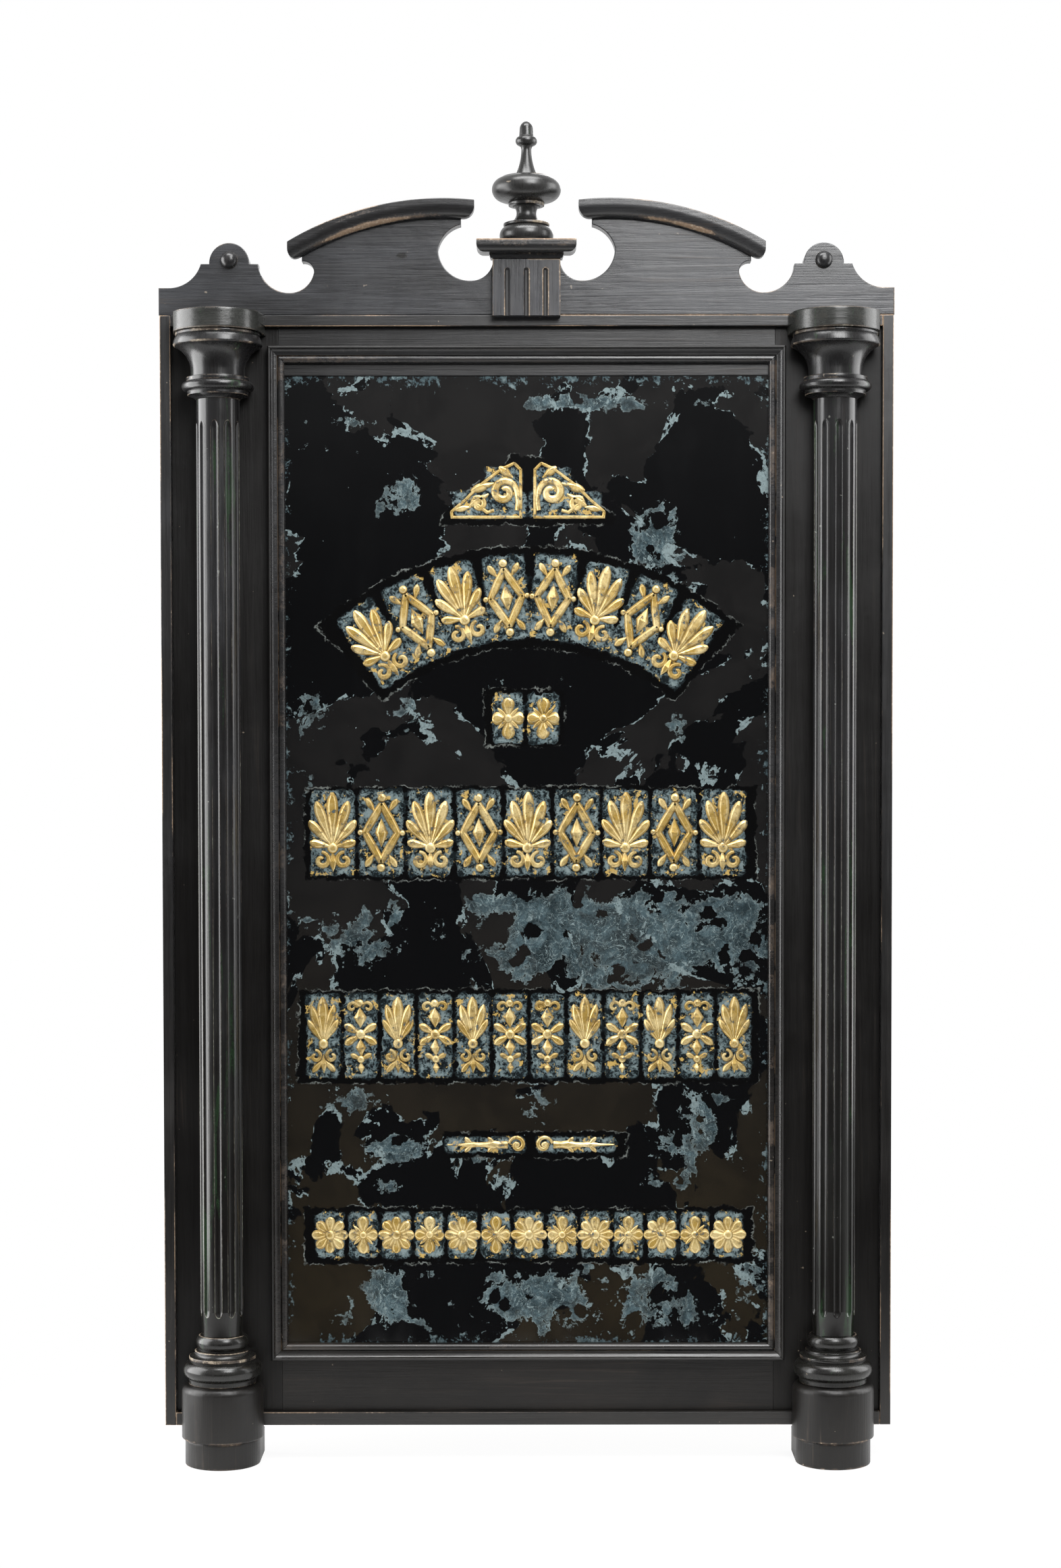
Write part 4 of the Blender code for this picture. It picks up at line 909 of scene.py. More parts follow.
def drumProfile(levels):
    d = drum
    inner, low = d["radius"] - d["shoulder"], d["height"] - d["shoulder"]
    shoulder = arc((inner, d["height"]), (inner + 0.707 * d["shoulder"], low + 0.707 * d["shoulder"]),
                   (d["radius"], low), 14)
    side = [(d["radius"], z) for z in levels]
    return [(0, d["height"]), (inner, d["height"])] + shoulder + side + [
        (d["radius"], d["bevel"]), (d["radius"] - d["bevel"], 0), (0, 0)]


shaft = {"Flutes": 10, "Phase": math.radians(4), "Radius": 0.032, "Foot Radius": 0.0302, "Foot Height": 0.013,
         "Taper Height": 0.024, "Flute Radius": 0.0075, "Flute Depth": 0.003, "Tip Length": 0.014}
fluteEnds = {"top": 0.029, "foot": 0.025}


def shaftTree():
    # Sinks round-ended flutes into a plain column of unit radius and marks their arrises
    inputs = {label: "Float" for label in (*shaft, "Flute Foot", "Flute Top")}
    tree, given, result = startTree("flutedShaft", {**inputs, "Flutes": "Int", "Finish": "Material"})

    here = addNode(tree, "GeometryNodeInputPosition").outputs[0]
    where = addNode(tree, "ShaderNodeSeparateXYZ", {0: here}).outputs
    height = where["Z"]
    angle = calc("ARCTAN2", where["X"], calc("MULTIPLY", where["Y"], -1.0))
    halfPitch = calc("DIVIDE", math.pi, given["Flutes"])
    turned = calc("WRAP", calc("SUBTRACT", angle, given["Phase"]), halfPitch,
                  calc("MULTIPLY", halfPitch, -1.0))
    reach = calc("SUBTRACT", calc("ADD", given["Radius"], given["Flute Radius"]), given["Flute Depth"])
    nearEnd = calc("MINIMUM", calc("SUBTRACT", height, given["Flute Foot"]),
                 calc("SUBTRACT", given["Flute Top"], height))
    share = calc("DIVIDE", nearEnd, given["Tip Length"], clamp=True)
    missing = calc("SUBTRACT", 1.0, share)
    rounded = calc("SQRT", calc("SUBTRACT", 1.0, calc("MULTIPLY", missing, missing)))
    cutter = calc("MULTIPLY", given["Flute Radius"], rounded)
    across = calc("MULTIPLY", reach, calc("SINE", turned))
    under = calc("SUBTRACT", calc("MULTIPLY", cutter, cutter), calc("MULTIPLY", across, across))
    sunk = calc("SUBTRACT", calc("MULTIPLY", reach, calc("COSINE", turned)),
                calc("SQRT", calc("MAXIMUM", under, 0.0)))
    aboveFoot = calc("SUBTRACT", height, given["Foot Height"])
    taper = calc("DIVIDE", aboveFoot, given["Taper Height"], clamp=True)
    gain = calc("SUBTRACT", given["Radius"], given["Foot Radius"])
    plain = calc("MULTIPLY_ADD", gain, taper, given["Foot Radius"])
    radius = calc("MINIMUM", plain, sunk)
    fromArris = calc("DIVIDE", calc("ABSOLUTE", calc("SUBTRACT", sunk, plain)), 0.0008)
    wear = calc("SUBTRACT", 1.0, fromArris, clamp=True)
    parts = {"X": calc("MULTIPLY", where["X"], radius), "Y": calc("MULTIPLY", where["Y"], radius),
             "Z": height}
    place = addNode(tree, "ShaderNodeCombineXYZ", parts).outputs[0]
    moved = addNode(tree, "GeometryNodeSetPosition", {"Geometry": given["Geometry"], "Position": place})
    stored = addNode(tree, "GeometryNodeStoreNamedAttribute", {"Geometry": moved.outputs[0], "Name": "wear"},
                     data_type="FLOAT", domain="POINT")
    setInput(liveSocket(stored.inputs, "Value"), wear)
    return endTree(tree, result, given, stored.outputs[0])


def plainColumn(heights, steps):
    points = []
    for z in heights:
        points += [(math.sin(math.tau * i / steps), -math.cos(math.tau * i / steps), z) for i in range(steps)]
    faces = bandFaces(len(heights), steps) + [end[::-1] for end in endFaces(len(heights), steps)]
    mesh = bpy.data.meshes.new("plain_column")
    mesh.from_pydata(points, [], faces)
    return mesh


# The arris of a plate: how far its edge is rounded, and how far wear spreads from there
abacus = {"radius": 0.0665, "corner": 0.062, "back": 0.068, "arris": (0.0009, 0.0022)}
foot = {"radius": 0.0555, "arris": (0.0015, 0.003)}


def caseNotch(inside, atCase, elsewhere):  # how far forward a piece's back stands, round the case's edge
    return lambda z: atCase if inside(z) else elsewhere


def addTurning(name, side, profile, finish, stand, foundation, back):
    node = side + "_" + name
    mesh = turnedMesh(node, profile, Matrix.Translation((0, 0, foundation)) @ stand)
    finishPiece(name + "_" + side, planeBack(mesh, back), finish, [node], sharp=50)


def addAbacus(side, x, axis, notch):
    node = side + "_abacus"
    low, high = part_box(node)
    corner = (abacus["corner"], -axis - math.sqrt(abacus["radius"] ** 2 - abacus["corner"] ** 2))
    plan = [(-abacus["back"], -columnBack), (-corner[0], corner[1])]
    plan += arc(plan[-1], (0, -axis - abacus["radius"]), corner, 60) + [(abacus["back"], -columnBack)]
    mesh = plateMesh(node, plan, low.z, high.z, Matrix.Translation((x, 0, 0)), *abacus["arris"],
                     (notch - 0.0002, notch))
    planeBack(mesh, caseNotch(lambda z: z > notch - 0.0001, caseFront + gap, columnBack))
    finishPiece("abacus_" + side, mesh, "abacus", [node])


def addShaft(side, out, tree, stand, back):
    node = side + "_shaft"
    low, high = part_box(node)
    foundation, length = low.z + column["tenonLength"], high.z - low.z - 2 * column["tenonLength"]
    fluteFoot, fluteTop = fluteEnds["foot"], length - fluteEnds["top"]
    tip = shaft["Tip Length"]
    heights = {0.0, length, shaft["Foot Height"], shaft["Foot Height"] + shaft["Taper Height"]}
    for i in range(25):
        share = tip * (i / 24) ** 1.6
        heights |= {fluteFoot + share, fluteTop - share}
    heights |= {fluteFoot + tip + (fluteTop - fluteFoot - 2 * tip) * i / 12 for i in range(1, 12)}
    values = {**shaft, "Phase": out * shaft["Phase"], "Flute Foot": fluteFoot, "Flute Top": fluteTop,
              "Finish": finishes["shaft"]}
    mesh = runTree(tree, plainColumn(sorted(heights), 360), values)
    mesh.transform(Matrix.Translation((0, 0, foundation)) @ stand)
    finishPiece("shaft_" + side, planeBack(mesh, back), "shaft", [node], sharp=30)


def addFoot(side, x, axis):
    node, radius = side + "_foot", foot["radius"]
    low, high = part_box(node)
    plan = [(-radius, 0), (-radius, -axis)]
    plan += arc(plan[-1], (0, -axis - radius), (radius, -axis), 60) + [(radius, 0)]
    mesh = plateMesh(node, plan, low.z, high.z, Matrix.Translation((x, 0, 0)), *foot["arris"])
    finishPiece("foot_" + side, mesh, "foot", [node])


def addColumns():
    tree = shaftTree()
    bottomLow, bottomHigh = (corner.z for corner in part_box("case_bottom_board"))
    near = gap + 0.0001
    besideCase = caseNotch(lambda z: bottomLow - near < z < bottomHigh + near, caseFront + gap, columnBack)

    def flatBack(_):
        return columnBack

    for side, out in sides.items():
        x, axis = out * column["x"], column["axis"]
        stand = Matrix.Translation((x, -axis, 0))
        addAbacus(side, x, axis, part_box("case_top_board")[0].z - gap)
        capitalFoot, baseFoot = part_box(side + "_capital")[0].z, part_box(side + "_base")[0].z
        addTurning("capital", side, capitalProfile(), "turned", stand, capitalFoot, flatBack)
        addShaft(side, out, tree, stand, flatBack)
        addTurning("base", side, baseProfile(), "turned", stand, baseFoot, flatBack)
        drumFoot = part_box(side + "_foot")[1].z + gap
        levels = [bottomHigh + 2 * gap, bottomHigh + gap, bottomLow - gap, bottomLow - 2 * gap]
        levels = [z - drumFoot for z in levels]
        addTurning("drum", side, drumProfile(levels), "foot", stand, drumFoot, besideCase)
        addFoot(side, x, axis)


addColumns()
print("columns done")

# Crest board, with its ears, bites and dips

crest = {
    "endHeight": 0.0397, "endFlat": 0.0133, "earInset": 0.1041, "earRadius": 0.0295, "earCentre": 0.0761,
    "shoulder": 0.0748, "shelf": 0.0419,
    "biteInset": 0.1921, "biteFloor": 0.0324, "mouth": 0.0453, "biteOuter": (0.0371, 0.0195),
    "biteInner": (0.0230, 0.0076), "neck": (0.0367, 0.0303), "hook": (0.0341, 0.0392), "lip": 0.0461,
    "dip": 0.0821, "dipFloor": 0.0501, "dipOuter": (0.0340, 0.0136), "dipInner": 0.0058, "bank": 0.0254,
    "scrollTop": 0.1322, "throat": (0.0225, 0.1189), "elbow": (0.0338, 0.0972),
}
cornice = {"radius": 0.4446, "centre": 0.1224, "drop": 0.2777, "height": 0.0266, "projection": 0.020,
           "fillet": 0.008, "quirk": 0.002, "outer": 0.3305, "inner": 0.0964, "round": 0.0006,
           "topRound": 0.0007, "steps": 72}
crestLow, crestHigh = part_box("crest_board")
plinthHalf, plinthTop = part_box("plinth_block")[1].x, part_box("plinth_block")[1].z


def corniceTop(x):
    return crestLow.z - cornice["drop"] + math.sqrt(cornice["radius"] ** 2 - (x - cornice["centre"]) ** 2)


def crestOutline():
    c, floor, wide = crest, crestLow.z, crestHigh.x
    ear, bite = wide - c["earInset"], wide - c["biteInset"]
    outer, inner = cornice["outer"], cornice["inner"]
    shoulder, shelf = floor + c["shoulder"], ear + c["shelf"]
    end = (wide - c["endFlat"], floor + c["endHeight"])
    half = [(wide, floor), (wide, end[1]), end]
    sweep = (shelf + 0.30 * (end[0] - shelf), end[1] + 0.35 * (shoulder - end[1]))
    half += arc(end, sweep, (shelf, shoulder), 16)
    half += [(ear + c["earRadius"], shoulder)]
    half += arc(half[-1], (ear, floor + c["earCentre"] + c["earRadius"]),
                (ear - c["earRadius"], shoulder), 32)
    biteFloor = floor + c["biteFloor"]
    half += [(bite + c["mouth"], shoulder)]
    half += arc(half[-1], (bite + c["biteOuter"][0], biteFloor + c["biteOuter"][1]), (bite, biteFloor), 20)
    neck = (bite - c["neck"][0], biteFloor + c["neck"][1])
    half += arc(half[-1], (bite - c["biteInner"][0], biteFloor + c["biteInner"][1]), neck, 18)
    half += arc(neck, (bite - c["hook"][0], biteFloor + c["hook"][1]), (outer, biteFloor + c["lip"]), 8)
    half += [(outer, corniceTop(outer))]
    centre = (outer + inner) / 2
    half += arc(half[-1], (centre, corniceTop(centre)), (inner, corniceTop(inner)), 48)
    half += [(inner, floor + c["scrollTop"])]
    elbow = (inner + c["elbow"][0], floor + c["elbow"][1])
    half += arc(half[-1], (inner + c["throat"][0], floor + c["throat"][1]), elbow, 18)
    dipFloor = floor + c["dipFloor"]
    half += arc(elbow, (c["dip"] + c["dipOuter"][0], dipFloor + c["dipOuter"][1]), (c["dip"], dipFloor), 20)
    bank = (plinthHalf, dipFloor + c["bank"])
    half += arc(half[-1], (bank[0] + 0.40 * (c["dip"] - bank[0]), dipFloor + c["dipInner"]), bank, 16)
    half += [(plinthHalf, plinthTop)]
    return half + [(-x, z) for x, z in reversed(half)]


def corniceRows(hand):
    # Level rows of one cornice from its lower edge up, each with a wear mark
    c = cornice
    rise = c["height"] - c["fillet"]
    levels = []
    for i in range(19):
        a = math.radians(5 * i)
        mark = 0.95 * math.exp(-((i - 6.5) / 3.5) ** 2)
        forward = c["quirk"] + (c["projection"] - c["quirk"]) * math.sin(a)
        levels.append((rise * (1 - math.cos(a)), forward, mark))
    out, high, r = c["projection"], c["height"], c["round"]
    levels += [(rise + r, out, 0.25), (high - r - 0.001, out, 0.1), (high - r, out, 0.9)]
    levels += [(high, out - c["topRound"], 0.9)]
    centreZ = crestLow.z - c["drop"]
    steps, back = c["steps"], caseFront + gap
    points, wear = [], []
    for level, forward, mark in levels:
        radius = c["radius"] - c["height"] + level
        outer = math.acos((c["outer"] + forward - c["centre"]) / radius)
        inner = math.acos((c["inner"] - forward - c["centre"]) / radius)
        path = []
        for i in range(steps + 1):
            angle = outer + (inner - outer) * i / steps
            path.append((hand * (c["centre"] + radius * math.cos(angle)), centreZ + radius * math.sin(angle)))
        points += [(x, -back - forward, z) for x, z in path] + [(x, -back, z) for x, z in reversed(path)]
        wear += [mark * math.sin(math.pi * i / steps) ** 1.5 for i in range(steps + 1)] + [0] * (steps + 1)
    return points, wear, 2 * (steps + 1), len(levels)


def addCrest():
    place = Matrix.Translation((0, crestLow.y, 0)) @ frontUp
    thickness = crestHigh.y - crestLow.y
    mesh = plateMesh("crest_board", crestOutline(), -thickness, 0, place)
    finishPiece("crest_board_painted", rawBehind(mesh, crestHigh.y), "crest", ["crest_board"])
    for side, out in sides.items():
        points, wear, count, rows = corniceRows(out)
        faces = bandFaces(rows, count)
        for start in (0, (rows - 1) * count):
            for i in range(count // 2 - 1):
                faces.append((start + i, start + i + 1, start + count - 2 - i, start + count - 1 - i))
        node = side + "_cornice"
        finishPiece("cornice_" + side, meshFrom(node, points, faces, wear), "moulding", [node], sharp=50)

        low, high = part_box(side + "_ear_knob")
        r, h = (high.x - low.x) / 2, -low.y - caseFront - gap
        dome = arc((0, h), (0.62 * r, 0.82 * h), (r, 0.22 * h), 16)
        profile = [(0, h)] + dome + [(0.9 * r, 0), (0.004, 0), (0.004, -0.012), (0, -0.012)]
        centre = (low + high) / 2
        place = Matrix.Translation((centre.x, -caseFront - gap, centre.z)) @ frontUp
        mesh = turnedMesh(side + "_ear_knob", profile, place, 64)
        finishPiece("ear_knob_" + side, mesh, "turned", [side + "_ear_knob"], sharp=50)


addCrest()
print("crest done")

# Plinth, its flutes and cap

plinth = {"pitch": 0.028, "fluteRadius": 0.0042, "fluteDepth": 0.003, "fluteTop": 0.013,
          "arris": 0.0008, "fade": 0.003, "land": 0.0014, "neckSteps": (0.0028, 0.0048),
          "capFillet": 0.0073, "capStep": 0.0082, "capProjection": 0.0103}


def ringMesh(name, rings, back, boardBack, half):
    # Level rings round three sides of the plinth. Behind the crest board's face they narrow to its width.
    points, wear = [], []
    for step, front, z, mark in rings:
        wide = half + step
        fronts = [(-wide, -back), (-wide, -front - step), (wide, -front - step), (wide, -back)]
        ring = []
        for a, b in zip(fronts, fronts[1:]):
            ring += [tuple(Vector(a).lerp(Vector(b), s)) for s in (0, 0.02, 0.06, 0.5, 0.94, 0.98)]
        ring += [(wide, -back), (half, -back), (half, -boardBack), (-half, -boardBack), (-half, -back)]
        for x, y in ring:
            points.append((x, y, z))
            wear.append(mark)
    shape = len(rings), len(ring)
    return meshFrom(name, points, bandFaces(*shape) + endFaces(*shape), wear)


def addPlinthBlock(low, high):
    p, front, half = plinth, -low.y, high.x
    r = p["fluteRadius"]
    spots = [i * p["pitch"] for i in (-1, 0, 1)]
    arris, fade, land = p["arris"], p["fade"], p["land"]
    columns = {-half, half, -half + arris, half - arris, -half + fade, half - fade}
    for spot in spots:
        for i in range(17):
            columns.add(round(spot + r * math.cos(math.pi * i / 16), 7))
        columns |= {round(spot - r - land, 7), round(spot + r + land, 7)}
    columns = sorted(columns)
    top = high.z - p["fluteTop"]
    rows = [low.z, low.z + arris, low.z + fade, top - r - 0.02]
    rows += [top - r + r * math.sin(math.radians(9 * i)) for i in range(11)]
    rows += [top + 0.0012, high.z - fade, high.z - arris, high.z]
    sink = front - p["fluteDepth"] + r
    rimRadius = math.sqrt(r * r - (r - p["fluteDepth"]) ** 2)
    points, wear = [], []
    for z in rows:
        for x in columns:
            depth, mark = front, 0.0
            for spot in spots:
                overTop = max(0.0, z - (top - r))
                cutter = math.sqrt(max(r * r - overTop * overTop, 0)) if z < top else 0
                away = abs(x - spot)
                if away < cutter:
                    depth = min(front, sink - math.sqrt(cutter ** 2 - away ** 2))
                    # Inside a flute the mark is below zero, which the paint darkens as painted shade
                    mark = -0.55 if depth < front - 0.0004 else 0.0
                if abs(math.hypot(away, overTop) - rimRadius) < 0.0006:
                    mark = 1.0
            edgeNear = min(half - abs(x), high.z - z)
            if edgeNear < 0.001:
                mark = 1.0
            if edgeNear < arris / 2:
                depth -= arris
            points.append((x, -depth, z))
            wear.append(mark)
    faces, rim = bandFaces(len(rows), len(columns), closed=False), gridRim(len(rows), len(columns))
    start = len(points)
    for i in rim:
        points.append((points[i][0], high.y, points[i][2]))
        wear.append(0)
    for i in range(len(rim)):
        j = (i + 1) % len(rim)
        faces.append((rim[i], start + i, start + j, rim[j]))
    faces.append(tuple(range(start, len(points))))
    mesh = meshFrom("plinth_block", points, faces, wear)
    finishPiece("plinth_block_painted", mesh, "plinth", ["plinth_block"], sharp=40)


def addNecking(front, half):
    low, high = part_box("plinth_necking")
    lower, upper = plinth["neckSteps"]
    rings = [(lower, front, low.z, 0.0), (lower + 0.0003, front, low.z + 0.0008, 0.0),
             (upper, front, high.z - 0.0008, 0.2), (upper, front, high.z, 0.2)]
    mesh = ringMesh("plinth_necking", rings, caseFront, -high.y, half)
    finishPiece("plinth_necking_painted", mesh, "moulding", ["plinth_necking"], sharp=40)


def addCap(front, half):
    p = plinth
    low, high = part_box("plinth_cap")
    rise = high.z - low.z - p["capFillet"]
    start = p["neckSteps"][1] + p["capStep"]
    rings = [(start - 0.0004, front, low.z, 0.1)]
    for i in range(13):
        a = math.radians(7.5 * i)
        mark = 0.05 + 0.12 * (i > 9)
        step, z = start + p["capProjection"] * math.sin(a), low.z + rise * (1 - math.cos(a))
        rings.append((step, front, z, mark))
    full = start + p["capProjection"]
    rings += [(full, front, high.z - 0.003, 0.18), (full, front, high.z - 0.0008, 0.65),
              (full - 0.0008, front, high.z, 0.65), (full - 0.004, front, high.z, 0.0)]
    mesh = ringMesh("plinth_cap", rings, caseFront, -high.y, half)
    finishPiece("plinth_cap_painted", mesh, "moulding", ["plinth_cap"], sharp=40)


blockLow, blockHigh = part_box("plinth_block")
addPlinthBlock(blockLow, blockHigh)
addNecking(-blockLow.y, blockHigh.x)
addCap(-blockLow.y, blockHigh.x)
print("plinth done")

# Finial

finial = {"base": (0.0392, 0.0313), "waist": (0.0149, 0.0256), "bowl": (0.0506, 0.037), "shoulder": 0.0387,
          "neck": (0.0074, 0.048), "ring": (0.0159, 0.0136), "tip": (0.0105, 0.0225), "quirk": 0.003,
          "tenon": (0.009, 0.016)}


def finialProfile():
    f = finial
    (base, baseH), (waist, waistH), (bowl, bowlH) = f["base"], f["waist"], f["bowl"]
    (neck, neckH), (ring, ringH), (tip, tipH) = f["neck"], f["ring"], f["tip"]
    quirk, shoulder = f["quirk"], f["shoulder"]
    bowlFoot = baseH + waistH
    shoulderZ = bowlFoot + bowlH
    ringFoot = shoulderZ + neckH
    tipFoot = ringFoot + ringH
    profile = [(0, tipFoot + tipH)]
    profile += arc(profile[-1], (0.70 * tip, tipFoot + 0.80 * tipH), (0.92 * tip, tipFoot + 0.55 * tipH), 14)
    profile += [(tip, tipFoot)]
    profile += arc(profile[-1], (ring, (ringFoot + tipFoot) / 2), (1.2 * neck, ringFoot), 16)
    profile += [(neck, ringFoot - 0.10 * neckH)]
    profile += arc(profile[-1], (1.25 * neck, shoulderZ + 0.53 * neckH),
                   (2.3 * neck, shoulderZ + 0.08 * neckH), 20)
    profile += [(0.94 * shoulder, shoulderZ + 0.6 * quirk), (shoulder, shoulderZ)]
    profile += arc(profile[-1], (bowl, shoulderZ - 0.38 * bowlH), (0.76 * bowl, bowlFoot + 0.14 * bowlH), 26)
    profile += [(0.50 * bowl, bowlFoot + 0.7 * quirk), (0.52 * bowl, bowlFoot + 0.5 * quirk),
                (0.52 * bowl, bowlFoot - quirk), (0.37 * bowl, bowlFoot - 1.1 * quirk)]
    profile += arc(profile[-1], (waist, baseH + 0.36 * waistH), (0.72 * base, 0.93 * baseH), 22)
    profile += [(0.86 * base, 0.90 * baseH), (0.86 * base, 0.79 * baseH), (0.80 * base, 0.76 * baseH)]
    profile += arc(profile[-1], (base, 0.44 * baseH), (0.94 * base, 0.06 * baseH), 18)
    tenon, length = f["tenon"]
    return profile + [(0.94 * base, 0), (tenon, 0), (tenon, -length), (0, -length)]


low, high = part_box("finial")
stand = Matrix.Translation(((low.x + high.x) / 2, (low.y + high.y) / 2, low.z + finial["tenon"][1]))
mesh = turnedMesh("finial", finialProfile(), stand, 160)
finishPiece("finial_turned", mesh, "finial", ["finial"], sharp=50)
print("finial done")

# Back: turn-buttons, screws and hanger plates

button = {"width": 0.020, "arris": (0.0014, 0.0015)}


def addButtons():
    half = button["width"] / 2
    for side, out in sides.items():
        for height in ("top", "middle", "bottom"):
            node = f"{side}_{height}_button"
            low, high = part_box(node)
            inner, outer = (low.x, high.x) if out > 0 else (high.x, low.x)
            inward, outward = inner + out * half, outer - out * half
            z = (low.z + high.z) / 2
            plan = [(inward, z + half)] + arc((inward, z + half), (inner, z), (inward, z - half), 20)
            plan += [(outward, z - half)] + arc((outward, z - half), (outer, z), (outward, z + half), 20)[:-1]
            place = Matrix.Translation((0, low.y, 0)) @ frontUp
            mesh = plateMesh(node, plan, low.y - high.y, 0, place, *button["arris"])
            finishPiece("turn_" + node, mesh, "beech", [node], rides=node)


screw = {"head": 0.0048, "rise": 0.0024, "shank": 0.0022, "length": 0.014, "slot": 0.001, "slotDepth": 0.0011}


def screwMesh():
    # A slotted round head and its shank, pointing up from its own origin
    r, h, shank, length = (screw[key] for key in ("head", "rise", "shank", "length"))
    profile = [(0, h)] + arc((0, h), (0.55 * r, 0.86 * h), (r, 0.25 * h), 10)
    profile += [(r, 0), (shank, 0), (shank, 0.004 - length), (0, -length)]
    mesh = turnedMesh("screw", profile, Matrix(), 32, 0.0002, 0.0006)
    slot = screw["slot"] / 2
    return cutAway(mesh, [boxForm((-0.006, -slot, h - screw["slotDepth"]), (0.006, slot, h + 0.001))])


def screwTree():
    # Sets a screw on every point, each turned its own way
    tree, given, result = startTree("setScrews", {"Screw": "Object", "Seed": "Int", "Finish": "Material"})
    info = addNode(tree, "GeometryNodeObjectInfo", {"Object": given["Screw"]})
    turn = addNode(tree, "FunctionNodeRandomValue", {"Seed": given["Seed"]}, data_type="FLOAT")
    setInput(liveSocket(turn.inputs, "Max"), math.pi)
    angles = {"X": -math.pi / 2, "Y": liveSocket(turn.outputs)}
    spin = addNode(tree, "ShaderNodeCombineXYZ", angles).outputs[0]
    placed = addNode(tree, "GeometryNodeInstanceOnPoints",
                     {"Points": given["Geometry"], "Instance": info.outputs["Geometry"], "Rotation": spin})
    return endTree(tree, result, given, placed.outputs[0])


def addScrews():
    nodes = sorted(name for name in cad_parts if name.endswith("_screw"))
    points = []
    for node in nodes:
        low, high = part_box(node)
        points.append(((low.x + high.x) / 2, high.y - screw["rise"], (low.z + high.z) / 2))
    mesh = bpy.data.meshes.new("screw_points")
    mesh.from_pydata(points, [], [])
    source = linkedItem("screw_pattern", screwMesh())
    mesh = runTree(screwTree(), mesh, {"Screw": source, "Seed": 7, "Finish": finishes["iron"]})
    bpy.data.objects.remove(source, do_unlink=True)
    finishPiece("slotted_screws", mesh, "iron", nodes, sharp=40)


hanger = {"tab": 0.016, "barHeight": 0.012, "eyeRadius": 0.0065, "arris": (0.0004, 0.0006)}


def addHangers():
    tab = hanger["tab"]
    for side in sides:
        node = side + "_hanger_plate"
        low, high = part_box(node)
        centre, bar, barTop = (low + high) / 2, (high.x - low.x) / 2, low.z + hanger["barHeight"]
        x = centre.x
        plan = [(x - bar, low.z), (x + bar, low.z), (x + bar, barTop), (x + tab, barTop)]
        plan += [(x + tab, high.z - tab)]
        plan += arc(plan[-1], (x, high.z), (x - tab, high.z - tab), 32)
        plan += [(x - tab, barTop), (x - bar, barTop)]
        place = Matrix.Translation((0, low.y, 0)) @ frontUp
        mesh = plateMesh(node, plan, low.y - high.y, 0, place, *hanger["arris"])
        eye = (x, centre.y, (barTop + high.z) / 2)
        mesh = cutAway(mesh, [rodForm(eye, hanger["eyeRadius"], 0.012)])
        finishPiece("plate_" + node, mesh, "iron", [node])


addButtons()
addScrews()
addHangers()
print("back done")

# Gilt ornament on the pane, in rows. Motifs are drawn with X across, Y up and Z out of the glass.

paneLow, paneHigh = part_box("glass_pane")
paneFace = paneLow.y


# Each corner's value is its height in the relief, from 0 at the foot to 1 on the crown, which the gilding
# uses for painted shade and painted highlight
def addCorner(form, x, y, z, value):
    corner = form.verts.new((x, y, z))
    corner[form.verts.layers.float["wear"]] = value
    return corner


def skinRows(form, rows, *ends):  # quads between rows of corners, then the ends
    for low, high in zip(rows, rows[1:]):
        for i in range(len(low)):
            j = (i + 1) % len(low)
            form.faces.new((low[i], low[j], high[j], high[i]))
    for end in ends:
        form.faces.new(end)


def ridge(form, path, widths, rise):
    # A flat-topped ridge with bevelled sides along a flat path
    rows, bevel = [], 0.28 * max(widths)
    for i, (x, y) in enumerate(path):
        before, after = path[max(i - 1, 0)], path[min(i + 1, len(path) - 1)]
        along = Vector((after[0] - before[0], after[1] - before[1])).normalized()
        across = Vector((-along.y, along.x))
        half = widths[i] / 2
        crown = max(half - bevel, 0.15 * half)
        top = rise * min(widths[i] / max(widths) * 1.4, 1)
        section = ((half, 0, 0), (crown, top, 1), (-crown, top, 1), (-half, 0, 0))
        rows.append([addCorner(form, x + across.x * u, y + across.y * u, z, value)
                     for u, z, value in section])
    skinRows(form, rows, rows[0], rows[-1][::-1])


def leaf(form, x, y, angle, length, width, rise=0.024, bow=0.0, tip=1.0, steps=12):
    # A leaf. With a tip over 1 it is widest near its end, as a petal is, and rounder there.
    path, widths = [], []
    a = math.radians(angle)
    for i in range(steps + 1):
        t = i / steps
        side = bow * math.sin(math.pi * t / 2) ** 2
        path.append((x + math.sin(a) * length * t + math.cos(a) * side,
                     y + math.cos(a) * length * t - math.sin(a) * side))
        swell = math.sin(math.pi * min(0.03 + 0.95 * t ** tip, 1))
        widths.append(max(width * swell ** (0.8 / tip ** 0.6), 0.003))
    ridge(form, path, widths, rise)


def lozenge(form, x, y, height, width, rise=0.028):
    ridge(form, [(x, y - height / 2), (x, y), (x, y + height / 2)], [0.004, width, 0.004], rise)


def boss(form, x, y, radius, rise=0.036, around=16):
    rings = []
    for r, z in ((1, 0), (0.92, 0.45), (0.7, 0.8), (0.38, 0.96)):
        angles = [math.tau * i / around for i in range(around)]
        rings.append([addCorner(form, x + radius * r * math.cos(angle), y + radius * r * math.sin(angle),
                                rise * z, z) for angle in angles])
    skinRows(form, rings, rings[-1], rings[0][::-1])


def curl(form, x, y, radius, turns, start, width, hand=1, rise=0.024, tail=()):
    # A scroll that winds in from its tail
    path = list(tail)
    steps = int(18 * turns)
    for i in range(steps + 1):
        t = i / steps
        r = radius * (1 - 0.78 * t)
        a = math.radians(start) + hand * math.tau * turns * t
        path.append((x + r * math.cos(a), y + r * math.sin(a)))
    count = len(path)
    swells = [0.35 + 0.65 * math.sin(math.pi * (0.15 + 0.75 * i / (count - 1))) for i in range(count)]
    ridge(form, path, [width * swell for swell in swells], rise)


